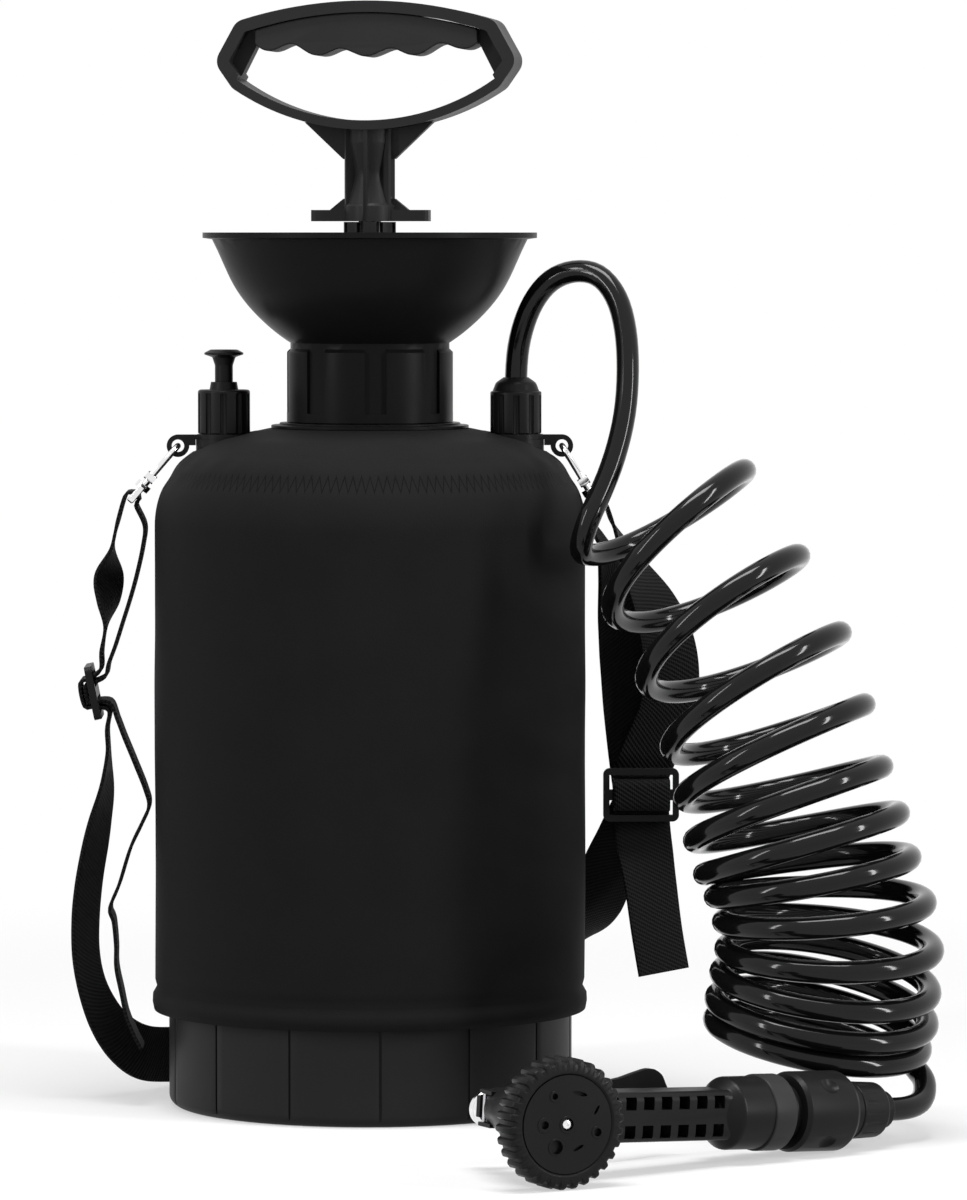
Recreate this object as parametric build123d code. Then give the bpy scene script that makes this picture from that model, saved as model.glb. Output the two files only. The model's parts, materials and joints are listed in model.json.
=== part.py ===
from build123d import *
import math
import os

os.makedirs("parts", exist_ok=True)

# Portable pressure shower. Millimetres, +Z up, front towards -Y.
# The origin is the centre of the foot cup's underside.

# Foot cup
cup_radius = 90.0
cup_height = 56.0
cup_wall = 3.0
cup_groove_count = 14
cup_groove_width = 1.2
cup_groove_depth = 0.8
cup_foot_round = 5.0
cup_groove_phase = 2.7

# Tank, a blow-moulded bottle
tank_wall = 3.0
tank_foot_clearance = 0.2
tank_bottom_lift = 3.0
tank_shoulder_round = 40.0
tank_top_height = 302.0
tank_shoulder_rise = 11.0
tank_cone_radius = 45.0
tank_stand_width = 22.0
tank_dome_rise = 8.0
tank_foot_round = 18.0
neck_radius = 31.0
neck_bore = 26.5
neck_height = 28.0
boss_spacing = 65.0
boss_pad_radius = 12.5
boss_pad_drop = 5.0
boss_radius = 8.5
boss_height = 10.0
boss_bore = 5.0

# Insulating cover of neoprene
cover_radius = 96.0
cover_thickness = 3.5
cover_fit_gap = 0.3
cover_bottom = 43.0
hem_height = 10.0
hem_proud = 0.7
cover_neck_hole = 33.0
cover_boss_hole = 13.5

# Neck washer and funnel
neck_ring_radius = 44.0
neck_ring_step_radius = 40.3
neck_ring_height = 2.6
neck_ring_gap = 0.4
collar_radius = 37.0
collar_lift = 3.0
collar_wall = 4.3
collar_pad_count = 8
collar_recess_angle = 15.0
collar_recess_depth = 1.8
collar_phase = 26.4
collar_thread_gap = 0.3
funnel_floor_thickness = 13.5
funnel_rim_radius = 74.4
funnel_rim_width = 4.2
funnel_depth = 44.0
funnel_wall = 2.2
funnel_bore = 24.5
neck_seal_thickness = 1.5

# Pump
barrel_radius = 21.0
barrel_wall = 1.8
barrel_bottom = 45.0
barrel_floor = 3.0
valve_hole_radius = 6.0
pump_flange_radius = 30.0
pump_seal_thickness = 1.5
pump_flange_thickness = 3.5
pump_plug_clearance = 0.3
pump_plug_length = 13.5
tower_radius = 11.6
tower_bore = 8.0
tower_height = 43.7
tower_slot_count = 8
tower_slot_width = 3.2
tower_slot_depth = 6.0
rod_guide_length = 16.0
piston_clearance = 0.3
piston_lift = 10.0
piston_height = 17.0
piston_seal_wire = 1.9
rod_radius = 5.0
rod_socket_depth = 12.0
rod_grip_length = 31.0
sliding_fit = 0.06

# Pump handle
handle_turn = -10.0
handle_depth = 24.0
handle_web = 8.0
handle_half_width = 68.0
handle_flange = 5.5
handle_corner_round = 7.0
grip_depth = 21.0
grip_half_width = 50.0
grip_fit = 0.1
grip_low = 38.0
grip_high = 44.5
stem_gap = 0.3
stem_radius = 11.6
stem_waist_radius = 7.0
stem_waist_round = 12.0
stem_head_radius = 9.8
stem_height = 42.0
stem_foot_height = 8.0
stem_rib_count = 6
stem_rib_width = 1.8
gusset_half_width = 29.0
gusset_height = 16.4
crossbar_length = 53.0
crossbar_width = 11.0
crossbar_height = 5.0

# Relief valve and hose outlet
nut_radius = 11.6
nut_lift = 2.6
nut_land_count = 10
nut_groove_radius = 1.5
thread_gap = 0.1
relief_nut_height = 19.6
relief_roof = 2.2
relief_collar_height = 3.4
relief_collar_radius = 6.4
relief_stem_radius = 4.0
relief_cap_radius = 8.7
relief_cap_lift = 14.4
relief_disc_radius = 7.6
relief_disc_thickness = 1.5
relief_wire_radius = 0.5
relief_coil_radius = 5.6
relief_coil_turns = 4
outlet_nut_radius = 11.4
outlet_nut_height = 18.7
outlet_dome_height = 6.3
outlet_flange_thickness = 2.2
outlet_spigot_radius = 4.6
outlet_bore = 1.6
valve_seal_thickness = 1.2
hose_seat_lift = 11.0
dip_tube_radius = 4.0
dip_tube_bore = 2.6
dip_tube_bottom = 14.0

# Hose and coil
hose_radius = 5.0
coil_outer_radius = 49.0

# Shoulder strap and its fittings
strap_width = 25.0
strap_thickness = 1.6
lug_reach = 20.5
lug_drop = 2.8
lug_washer_radius = 12.0
lug_washer_thickness = 2.4
lug_ear_radius = 5.0
lug_ear_hole = 2.8
lug_ear_thickness = 4.0
hook_wire = 1.4
hook_half_width = 5.0
hook_length = 20.5
eye_inner_width = 26.0
slider_width = 34.0
slider_height = 24.0
slider_thickness = 3.2
slider_slot = 6.6
slider_slot_offset = 5.7
slider_slot_width = 28.4

# Spray gun lying on the floor
gun_turn = 26.5
gun_tilt = 3.6
handle_lean = 10.4
gun_place = (68.9, -258.9, 27.0)
dial_radius = 27.0
dial_thickness = 14.0
dial_front = -25.3
barrel_front = -11.0
barrel_back = 35.0
gun_barrel_radius = 15.0
cage_start = 8.0
cage_end = 96.0
cage_height = 21.0
cage_depth = 20.0
window_pitch = 9.5
window_count = 8
inlet_radius = 15.4
inlet_end = 114.5
inlet_ring_radius = 16.2
inlet_ring_end = 126.5
nipple_radius = 7.9
nipple_end = 146.0
core_radius = 12.0
sleeve_start = 131.8
sleeve_end = 161.0
sleeve_radius = 17.0
hose_nut_end = 182.0
hose_collar_end = 188.0
hose_nut_radius = 12.3
lever_pivot_x = -16.5
lever_rise = 1.0
lever_pin_radius = 1.5
lever_hub_radius = 4.2
lever_hub_length = 12.0
lever_ear_span = 18.0
stem_pull_radius = 3.0

# Heights that follow from the sizes above
tank_corner_height = tank_top_height - tank_shoulder_rise
neck_top = tank_top_height + neck_height
boss_pad_top = tank_top_height - boss_pad_drop
boss_top = boss_pad_top + boss_height
collar_bottom = tank_top_height + collar_lift
funnel_floor = neck_top + neck_seal_thickness + funnel_floor_thickness
funnel_top = funnel_floor + funnel_depth
pump_flange_bottom = funnel_floor + pump_seal_thickness
pump_flange_top = pump_flange_bottom + pump_flange_thickness
tower_top = pump_flange_top + tower_height
barrel_bore = barrel_radius - barrel_wall
barrel_floor_top = barrel_bottom + barrel_floor
piston_bottom = barrel_floor_top + piston_lift
piston_top = piston_bottom + piston_height
stem_bottom = tower_top + stem_gap
handle_foot = stem_bottom + stem_height - 1.5
nut_bottom = boss_pad_top + nut_lift
relief_nut_top = nut_bottom + relief_nut_height
relief_collar_top = relief_nut_top + relief_collar_height
outlet_nut_top = nut_bottom + outlet_nut_height
outlet_dome_top = outlet_nut_top + outlet_dome_height
seal_top = boss_top + valve_seal_thickness
hose_seat = boss_top + hose_seat_lift
lug_ear_offset = boss_spacing + lug_reach
lug_ear_height = boss_pad_top - lug_drop
lever_pivot = (lever_pivot_x, barrel_back + lever_rise)


def turned(*corners):
    """A solid turned about the Z axis from (radius, height[, rounding]) corners."""
    face = make_face(Polyline(*[corner[:2] for corner in corners], close=True))
    for corner in corners:
        if len(corner) == 3:
            vertex = face.vertices().sort_by_distance(corner[:2])[0]
            face = fillet(vertex, corner[2])
    return revolve(Plane.XZ * face, Axis.Z)


def ring(outer, inner, low, high):
    """A plain ring about the Z axis."""
    return turned((inner, low), (outer, low), (outer, high), (inner, high))


def disc(radius, low, high):
    """A plain disc about the Z axis."""
    return Pos(0, 0, low) * extrude(Circle(radius), high - low)


def around(count, piece, phase=0.0):
    """Copies of a piece, evenly spaced about the Z axis."""
    return [Rot(0, 0, phase + 360 / count * i) * piece for i in range(count)]


def tube_along(points, radius):
    """A round tube on a route of straight runs joined by the largest arcs that fit."""
    corners = [Vector(*p) for p in points]
    radii = []
    for before, here, after in zip(corners, corners[1:], corners[2:]):
        turn = (here - before).get_angle(after - here)
        shorter = min((here - before).length, (after - here).length)
        radii.append(0.45 * shorter / math.tan(math.radians(turn / 2)))
    path = FilletPolyline(*corners, radius=radii)
    section = Plane(origin=path @ 0, z_dir=path % 0) * Circle(radius)
    return sweep(section, path), path, radii


def ribbon(stations, width, thickness):
    """Webbing through stations of (point, width direction), with ruled faces between them."""
    points = [Vector(*point) for point, across in stations]
    edge = width / 2
    face = thickness / 2
    outlines = []
    side = Vector(*stations[0][1])
    for i, (point, across) in enumerate(stations):
        side = Vector(*across) if side.dot(Vector(*across)) > 0 else -Vector(*across)
        along = points[min(i + 1, len(points) - 1)] - points[max(i - 1, 0)]
        plane = Plane(origin=point, x_dir=side, z_dir=along)
        corners = ((-edge, -face), (edge, -face), (edge, face), (-edge, face))
        outlines.append([plane.from_local_coords(corner) for corner in corners])
    faces = [make_face(Polyline(*end, close=True)).face() for end in (outlines[0], outlines[-1])]
    for before, here in zip(outlines, outlines[1:]):
        for k in range(4):
            lines = [Edge.make_line(ring[k], ring[(k + 1) % 4]) for ring in (before, here)]
            faces.append(Face.make_surface_from_curves(*lines))
    return Solid(Shell(faces))


def shoulder(inset):
    """The wall and shoulder corners shared by cover and tank, moved inwards by inset."""
    slope = math.atan2(tank_shoulder_rise, cover_radius - tank_cone_radius)
    drop = inset / math.cos(slope)
    corner = tank_corner_height + inset * math.tan(slope) - drop
    return [
        (cover_radius - inset, corner, tank_shoulder_round - inset),
        (tank_cone_radius, tank_top_height - drop),
    ]


# Foot cup: an open cup with fine upright grooves
def make_foot_cup():
    inner = cup_radius - cup_wall
    cup = turned(
        (0, 0), (cup_radius, 0, cup_foot_round), (cup_radius, cup_height),
        (inner, cup_height), (inner, cup_wall, cup_foot_round - 2), (0, cup_wall),
    )
    groove = Pos(0, -cup_radius, cup_height / 2) * Box(
        cup_groove_width, 2 * cup_groove_depth, cup_height + 2
    )
    return cup - around(cup_groove_count, groove, cup_groove_phase)


# Tank: a bottle with a domed bottom, two bosses on its shoulder and a wide neck
def make_tank():
    outer_inset = cover_thickness + cover_fit_gap
    inner_inset = outer_inset + tank_wall
    body_radius = cover_radius - outer_inset
    foot_radius = cup_radius - cup_wall - tank_foot_clearance
    foot_inner = foot_radius - tank_wall
    low = tank_bottom_lift
    stand = foot_radius - tank_stand_width
    dome = low + tank_dome_rise
    outside = turned(
        (0, dome + 3), (stand - 16, dome - 1, 30), (stand, low, 5), (foot_radius, low, tank_foot_round),
        (foot_radius, cup_height), (body_radius, cup_height, 1.5),
        *shoulder(outer_inset), (neck_radius, shoulder(outer_inset)[1][1]),
        (neck_radius, neck_top), (0, neck_top),
    )
    step = cup_height + tank_wall
    inside = turned(
        (0, dome + 3 + tank_wall), (stand - 16, dome - 1 + tank_wall, 30),
        (stand, low + tank_wall, 5), (foot_inner, low + tank_wall, tank_foot_round - tank_wall),
        (foot_inner, step), (body_radius - tank_wall, step, 1.5),
        *shoulder(inner_inset), (neck_bore, shoulder(inner_inset)[1][1]),
        (neck_bore, neck_top), (0, neck_top),
    )
    pad_low = boss_pad_top - 1.5 * boss_pad_radius + 0.75
    boss = disc(boss_pad_radius, pad_low, boss_pad_top) + disc(boss_radius, pad_low, boss_top)
    bosses = [Pos(side * boss_spacing, 0, 0) * boss for side in (-1, 1)]
    bore = disc(boss_bore, pad_low - 3 * tank_wall, boss_top)
    bores = [Pos(side * boss_spacing, 0, 0) * bore for side in (-1, 1)]
    return outside + bosses - inside - bores


# Insulating cover: a neoprene jacket with a turned hem at its open bottom
def make_cover():
    inner = cover_radius - cover_thickness
    jacket = turned(
        (inner, cover_bottom), (cover_radius, cover_bottom), *shoulder(0),
        (cover_neck_hole, tank_top_height),
        (cover_neck_hole, shoulder(cover_thickness)[1][1]),
        *reversed(shoulder(cover_thickness)),
    )
    hem = ring(cover_radius + hem_proud, inner, cover_bottom, cover_bottom + hem_height)
    hole = disc(cover_boss_hole, tank_corner_height - 30, tank_top_height + 10)
    holes = [Pos(side * boss_spacing, 0, 0) * hole for side in (-1, 1)]
    return jacket + hem - holes


# Neck ring: a stepped plastic washer that holds the jacket's top down
def make_neck_ring():
    low = tank_top_height
    inner = neck_radius + neck_ring_gap
    step = low + neck_ring_height * 0.6
    return turned(
        (inner, low), (neck_ring_radius, low), (neck_ring_radius, step),
        (neck_ring_step_radius, step), (neck_ring_step_radius, low + neck_ring_height),
        (inner, low + neck_ring_height),
    )


# Funnel: the screw collar and the filling bowl in one moulding
def make_funnel():
    bore = neck_radius + collar_thread_gap
    seat = neck_top + neck_seal_thickness
    bowl_foot = funnel_floor - 5
    base = bore + collar_wall - 0.2
    rim = funnel_rim_radius
    wall = funnel_wall
    lip = rim - funnel_rim_width
    spread = lip - base
    swell = [(0.392, 0.136), (0.708, 0.448), (0.904, 0.773)]
    sides = [(base + spread * out, funnel_floor + funnel_depth * up) for out, up in swell]
    outside = Spline((base, bowl_foot), *sides, (lip, funnel_top - 3.0))
    inside = Spline(
        (lip - wall, funnel_top - 1.0), (sides[2][0] - wall, sides[2][1]),
        (sides[1][0] - wall, sides[1][1] + 0.6), (sides[0][0] - 1.2, sides[0][1] + 2.0),
        (base + 3, funnel_floor),
    )
    outline = [
        Polyline((base + 3, funnel_floor), (funnel_bore, funnel_floor), (funnel_bore, seat)),
        Polyline((funnel_bore, seat), (bore, seat), (bore, collar_bottom)),
        Polyline((bore, collar_bottom), (base, collar_bottom), (base, bowl_foot)),
        outside,
        Polyline(
            outside @ 1, (rim, funnel_top - 2.4), (rim, funnel_top),
            (lip - wall, funnel_top), inside @ 0,
        ),
        inside,
    ]
    bowl = revolve(Plane.XZ * make_face(outline), Axis.Z)
    pads = turned(
        (base - 0.5, collar_bottom), (collar_radius, collar_bottom),
        (collar_radius, bowl_foot - 4, 1), (base - 0.5, bowl_foot - 2),
    )
    recess_height = bowl_foot - collar_bottom
    recess_width = 2 * collar_radius * math.sin(math.radians(collar_recess_angle / 2))
    recess = Pos(0, -collar_radius, collar_bottom + 4 + recess_height / 2) * Box(
        recess_width, 2 * collar_recess_depth, recess_height
    )
    pads = pads - around(collar_pad_count, recess, collar_phase + 360 / collar_pad_count / 2)
    return bowl + pads


def make_neck_seal():
    return ring(neck_radius, neck_bore, neck_top, neck_top + neck_seal_thickness)


# Pump cap: plug, flange and the notched tower that guides the rod
def make_pump_cap():
    plug_radius = funnel_bore - pump_plug_clearance
    plug_low = pump_flange_bottom - pump_plug_length
    plug = ring(plug_radius, barrel_radius + thread_gap, plug_low, pump_flange_bottom)
    flange = ring(pump_flange_radius, tower_bore, pump_flange_bottom, pump_flange_top)
    tower = ring(tower_radius, tower_bore, pump_flange_top, tower_top)
    rib_foot = (pump_flange_radius - tower_radius) * 0.76
    rib_head = pump_flange_top + tower_height * 0.6
    rib = Pos(tower_radius - 0.5, 0, 0) * extrude(
        Plane.XZ * Polygon((0, pump_flange_top), (rib_foot, pump_flange_top), (0, rib_head), align=None),
        1.0, both=True,
    )
    slot = Pos((tower_radius + tower_bore) / 2, 0, tower_top - tower_slot_depth / 2) * Box(
        tower_radius - tower_bore + 2, tower_slot_width, tower_slot_depth + 0.01
    )
    slots = around(tower_slot_count, slot, 360 / tower_slot_count / 2)
    return plug + flange + tower + around(6, rib) - slots


def make_pump_seal():
    return ring(pump_flange_radius - 1, funnel_bore + 0.4, funnel_floor, pump_flange_bottom)


def make_rod_guide():
    high = tower_top - tower_slot_depth - 2
    return ring(tower_bore, rod_radius + sliding_fit, high - rod_guide_length, high)


def make_barrel():
    hole = valve_hole_radius
    return turned(
        (hole, barrel_bottom), (barrel_radius, barrel_bottom, 1), (barrel_radius, pump_flange_bottom),
        (barrel_bore, pump_flange_bottom), (barrel_bore, barrel_floor_top), (hole, barrel_floor_top),
    )


# Foot valve: a rubber mushroom in the barrel's bottom hole
def make_foot_valve():
    stalk = valve_hole_radius - thread_gap
    lip = valve_hole_radius + 3.5
    bead = valve_hole_radius + 1.5
    return turned(
        (0, barrel_bottom - 4), (lip, barrel_bottom - 3), (lip, barrel_bottom),
        (stalk, barrel_bottom), (stalk, barrel_floor_top), (bead, barrel_floor_top),
        (bead, barrel_floor_top + 1.5), (0, barrel_floor_top + 3),
    )


piston_groove_middle = piston_bottom + piston_height * 0.476
piston_groove_depth = 2 * piston_seal_wire
rod_bottom = piston_top - rod_socket_depth


def make_piston():
    radius = barrel_bore - piston_clearance
    groove_low = piston_groove_middle - piston_seal_wire - 0.2
    groove_high = piston_groove_middle + piston_seal_wire + 0.2
    body = turned(
        (0, piston_bottom), (radius, piston_bottom, 1), (radius, groove_low),
        (radius - piston_groove_depth, groove_low), (radius - piston_groove_depth, groove_high),
        (radius, groove_high), (radius, piston_top, 1), (0, piston_top),
    )
    return body - disc(rod_radius + sliding_fit, rod_bottom, piston_top)


def make_piston_seal():
    place = Pos(barrel_bore - sliding_fit - piston_seal_wire, piston_groove_middle)
    return revolve(Plane.XZ * place * Circle(piston_seal_wire), Axis.Z)


def make_piston_rod():
    return disc(rod_radius, rod_bottom, stem_bottom + rod_grip_length)


# Pump handle: a flanged ring with a thin web, on a ribbed stem with a crossbar
def on_handle(*points):
    """Points of the handle's face: distance from its middle, and height above its lowest edge."""
    return [(across, handle_foot + up) for across, up in points]


def handle_outline():
    half = handle_half_width
    left_shoulder, left_side, left_hip = on_handle((10 - half, 48), (-half, 30), (8 - half, 18.5))
    right_hip, right_side, right_shoulder = on_handle((half - 8, 18.5), (half, 30), (half - 10, 48))
    crown, foot = on_handle((0, 57), (0, 0))
    outline = make_face([
        ThreePointArc(left_shoulder, crown, right_shoulder),
        Polyline(right_shoulder, right_side, right_hip),
        ThreePointArc(right_hip, foot, left_hip),
        Polyline(left_hip, left_side, left_shoulder),
    ])
    return fillet(outline.vertices(), handle_corner_round)


def window_outline():
    side = handle_half_width - 10
    top = grip_half_width
    right_hip, right_low, right_high = on_handle((side, 22.3), (top, grip_low), (top, grip_high))
    left_hip, left_low, left_high = on_handle((-side, 22.3), (-top, grip_low), (-top, grip_high))
    crown, foot = on_handle((0, 51.9), (0, 4.1))
    return make_face([
        ThreePointArc(left_hip, foot, right_hip),
        Polyline(right_hip, right_low, right_high),
        ThreePointArc(right_high, crown, left_high),
        Polyline(left_high, left_low, left_hip),
    ])


def make_handle():
    outline = handle_outline()
    web = offset(outline, -handle_flange)
    frame = extrude(Plane.XZ * (outline - web), handle_depth / 2, both=True)
    frame += extrude(Plane.XZ * web, handle_web / 2, both=True)
    frame -= extrude(Plane.XZ * window_outline(), handle_depth, both=True)
    gusset_top = handle_foot + handle_flange - 2
    gusset_low = gusset_top - gusset_height
    gusset = Polygon(
        (-gusset_half_width, gusset_top), (gusset_half_width, gusset_top),
        (stem_radius, gusset_low), (-stem_radius, gusset_low), align=None,
    )
    frame += extrude(Plane.XZ * gusset, 2.5, both=True)
    stem_top = stem_bottom + stem_height
    stem_foot = stem_bottom + stem_foot_height
    waist = stem_bottom + stem_height * 0.476
    core = turned(
        (0, stem_bottom), (stem_radius, stem_bottom), (stem_radius, stem_foot - 1, 1),
        (stem_radius - 1.2, stem_foot), (stem_waist_radius, waist, stem_waist_round),
        (stem_head_radius, stem_top - 7, 3), (stem_head_radius, stem_top), (0, stem_top),
    )
    rib = Pos(stem_radius / 2, 0, stem_bottom + stem_height / 2) * Box(
        stem_radius, stem_rib_width, stem_height
    )
    ribs = around(stem_rib_count, rib, 180 / stem_rib_count)
    bar = Pos(0.5, 0, stem_bottom + crossbar_height / 2) * Box(
        crossbar_length, crossbar_width, crossbar_height
    )
    bar = fillet(bar.edges().filter_by(Axis.Z), 2.5)
    brace_low = stem_bottom + crossbar_height - 1
    brace_foot = crossbar_length / 2 - 7.5
    brace = Polygon(
        (-brace_foot, brace_low), (brace_foot, brace_low), (stem_radius, brace_low + 6),
        (-stem_radius, brace_low + 6), align=None,
    )
    brace = extrude(Plane.XZ * brace, 2.0, both=True)
    rod_socket = disc(rod_radius, stem_bottom - 1, stem_bottom + rod_grip_length)
    whole = frame + core + ribs + bar + brace - rod_socket
    return Rot(0, 0, handle_turn) * whole


# Grip insert: the finger bar, with waves for four fingers
def make_grip():
    end = grip_half_width - grip_fit
    top = grip_high - 0.2
    waves = on_handle(
        (-end, 38.1), (-40, 35.7), (-34, 37.9), (-24.5, 33.3), (-19, 33.1), (-12, 35.7), (0, 32.3),
        (12, 35.7), (19, 33.1), (24.5, 33.3), (34, 37.9), (40, 36.1), (end, 38.1),
    )
    right_high, crown, left_high = on_handle((end, top), (0, 51.9 - 0.2), (-end, top))
    outline = make_face([
        Spline(*waves),
        Line(waves[-1], right_high),
        ThreePointArc(right_high, crown, left_high),
        Line(left_high, waves[0]),
    ])
    grip = extrude(Plane.XZ * outline, grip_depth / 2, both=True)
    return Rot(0, 0, handle_turn) * grip


# Lobed nuts on the two shoulder bosses
def nut_lands(radius, low, high):
    gap = disc(nut_groove_radius, low - 1, high - 1.6)
    return around(nut_land_count, Pos(radius + 0.4, 0, 0) * gap, 180 / nut_land_count)


def make_relief_nut():
    bore = boss_radius + thread_gap
    guide = relief_stem_radius + sliding_fit
    roof_low = relief_nut_top - relief_roof
    nut = turned(
        (bore, nut_bottom), (nut_radius, nut_bottom, 0.6), (nut_radius, relief_nut_top, 1.2),
        (relief_collar_radius, relief_nut_top), (relief_collar_radius - 0.6, relief_collar_top),
        (guide, relief_collar_top), (guide, roof_low), (bore, roof_low),
    )
    return Pos(-boss_spacing, 0, 0) * (nut - nut_lands(nut_radius, nut_bottom, relief_nut_top))


def make_relief_stem():
    flange_top = seal_top + relief_disc_thickness
    cap_top = relief_collar_top + relief_cap_lift
    stem = turned(
        (0, seal_top), (relief_disc_radius, seal_top), (relief_disc_radius, flange_top),
        (relief_stem_radius, flange_top),
        (relief_stem_radius, cap_top - 7, 3), (5.2, cap_top - 3.4, 1), (relief_cap_radius, cap_top - 2.2),
        (relief_cap_radius, cap_top - 1.4, 0.3), (6.0, cap_top, 1), (0, cap_top),
    )
    return Pos(-boss_spacing, 0, 0) * stem


# Relief spring: a closed-ended coil between the valve disc and the nut's roof
def make_relief_spring():
    low = seal_top + relief_disc_thickness
    high = relief_nut_top - relief_roof
    wire = relief_wire_radius
    pitch = (high - low - 2 * wire) / relief_coil_turns
    coil = Helix(pitch, pitch * relief_coil_turns, relief_coil_radius)
    section = Plane(origin=coil @ 0, z_dir=coil % 0) * Circle(wire)
    spring = sweep(section, coil)
    return Pos(-boss_spacing, 0, low + wire) * spring


def make_boss_seal(side):
    return Pos(side * boss_spacing, 0, 0) * ring(boss_radius - 0.2, boss_bore, boss_top, seal_top)


def make_outlet_nut():
    bore = boss_radius + thread_gap
    hole = hose_radius + thread_gap
    shelf = seal_top + outlet_flange_thickness
    nut = turned(
        (bore, nut_bottom), (outlet_nut_radius, nut_bottom, 0.6),
        (outlet_nut_radius, outlet_nut_top, 0.8), (outlet_nut_radius - 1.0, outlet_nut_top + 0.2),
        (outlet_nut_radius - 2.4, outlet_dome_top - 2.4, 3), (hole + 0.5, outlet_dome_top),
        (hole, outlet_dome_top),
        (hole, shelf), (bore, shelf),
    )
    return Pos(boss_spacing, 0, 0) * (nut - nut_lands(outlet_nut_radius, nut_bottom, outlet_nut_top))


# Outlet fitting: a flanged spigot that holds the dip tube below and the hose above
def make_outlet_fitting():
    bore = outlet_bore
    barb = dip_tube_bore
    flange = boss_radius - 0.3
    flange_top = seal_top + outlet_flange_thickness
    fitting = turned(
        (bore, boss_top - 22), (barb, boss_top - 22), (barb, boss_top - 2),
        (dip_tube_radius + 0.2, boss_top - 2), (dip_tube_radius + 0.2, seal_top), (flange, seal_top),
        (flange, flange_top), (outlet_spigot_radius, flange_top), (outlet_spigot_radius, hose_seat),
        (bore, hose_seat),
    )
    return Pos(boss_spacing, 0, 0) * fitting


def make_dip_tube():
    tube = ring(dip_tube_radius, dip_tube_bore, dip_tube_bottom, boss_top - 2)
    return Pos(boss_spacing, 0, 0) * tube


# Dip tube filter: a slotted cup pushed over the tube's lower end
def make_dip_filter():
    low = dip_tube_bottom - 3
    high = low + 18
    cup = turned((0, low), (6.5, low, 1), (6.5, high, 1), (dip_tube_radius, high),
                 (dip_tube_radius, dip_tube_bottom), (0, dip_tube_bottom))
    slot = Pos(6.5, 0, low + 9) * Box(3.0, 1.0, 10)
    return Pos(boss_spacing, 0, 0) * (cup - around(8, slot))


# Strap lug: a washer round the boss with an upright ear outside it
def make_lug(side):
    washer_top = boss_pad_top + lug_washer_thickness
    washer = ring(lug_washer_radius, boss_radius + 0.3, boss_pad_top, washer_top)
    web_start = lug_washer_radius - 1.5
    web = Pos((lug_reach + web_start) / 2, 0, lug_ear_height + 2.6) * Box(
        lug_reach - web_start, lug_ear_thickness, 4.8
    )
    ear_place = Pos(lug_reach, 0, lug_ear_height) * Rot(90, 0, 0)
    ear = ear_place * Cylinder(lug_ear_radius, lug_ear_thickness)
    hole = ear_place * Cylinder(lug_ear_hole, 10)
    turn = 0 if side > 0 else 180
    pad_room = disc(boss_pad_radius + 0.3, boss_pad_top - 12, boss_pad_top)
    lug = washer + (web + ear - pad_room) - hole
    return Pos(side * boss_spacing, 0, 0) * Rot(0, 0, turn) * lug


# Snap hooks: a bent wire with a sprung gate and a swivelling eye for the strap
hook_direction = {-1: Vector(-0.655, 0, -0.756), 1: Vector(0.52, 0, -0.854)}


def hook_plane(side):
    along = hook_direction[side].normalized()
    across = along.cross(Vector(0, 1, 0))
    return Plane(origin=(side * lug_ear_offset, 0, lug_ear_height), x_dir=along, z_dir=across)


gate_hinge = hook_length - 3.0
gate_tip = 6.6


def make_hook_body(side):
    nose = gate_tip - 0.2
    bend = hook_half_width
    path = Line((hook_length - 3, -bend), (bend, -bend))
    path += ThreePointArc((bend, -bend), (0, 0), (bend, bend))
    path += Line((bend, bend), (nose, bend))
    section = Plane(origin=path @ 0, z_dir=path % 0) * Circle(hook_wire)
    wire = sweep(section, path)
    base = Pos(hook_length - 2.0, 0, 0) * Box(4.0, 2 * bend + 3.2, 4.8)
    base = fillet(base.edges().filter_by(Axis.Z), 1.2)
    slot = Pos(hook_length - 2.4, bend + 0.3, 0) * Box(6.0, 5.6, 2.8)
    pin = Pos(gate_hinge, bend, 0) * Cylinder(0.8, 4.8)
    neck = Pos(hook_length + 1.0, 0, 0) * Rot(0, 90, 0) * Cylinder(1.6, 3.0)
    return hook_plane(side) * (wire + (base - slot) + pin + neck)


def make_hook_gate(side):
    bend = hook_half_width
    length = gate_hinge - gate_tip
    bar = Pos(gate_hinge - length / 2, bend, 0) * Box(length, 2.2, 2.2)
    bar = fillet(bar.edges().filter_by(Axis.X), 0.7)
    root = Pos(gate_hinge, bend, 0) * Cylinder(1.7, 2.4)
    hole = Pos(gate_hinge, bend, 0) * Cylinder(0.8 + sliding_fit, 6)
    return hook_plane(side) * (bar + root - hole)


eye_bar = hook_length + 10.5


def make_hook_eye(side):
    half = eye_inner_width / 2
    near = hook_length + 3.4
    outer = Pos((near + eye_bar) / 2, 0, 0) * Box(eye_bar - near + 3, 2 * half + 6, 3.0)
    outer = fillet(outer.edges().filter_by(Axis.Z), 3)
    inner = Pos((near + eye_bar) / 2, 0, 0) * Box(eye_bar - near - 3, 2 * half, 8)
    hub = Pos(near, 0, 0) * Rot(0, 90, 0) * Cylinder(3.4, 3.0)
    bore = Pos(near - 2, 0, 0) * Rot(0, 90, 0) * Cylinder(1.6 + sliding_fit, 4.4)
    return hook_plane(side) * (fillet(outer.edges(), 0.6) - inner + hub - bore)


# Slide adjusters: flat three-bar buckles on the strap
left_slider_place = Plane(origin=(-123.2, 0, 184.7), x_dir=(0, -1, 0), z_dir=(-0.98, 0, -0.199))
right_slider_place = Plane(origin=(121.5, 12.0, 137.0), x_dir=(1, 0, 0), z_dir=(0, -1, 0))


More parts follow.
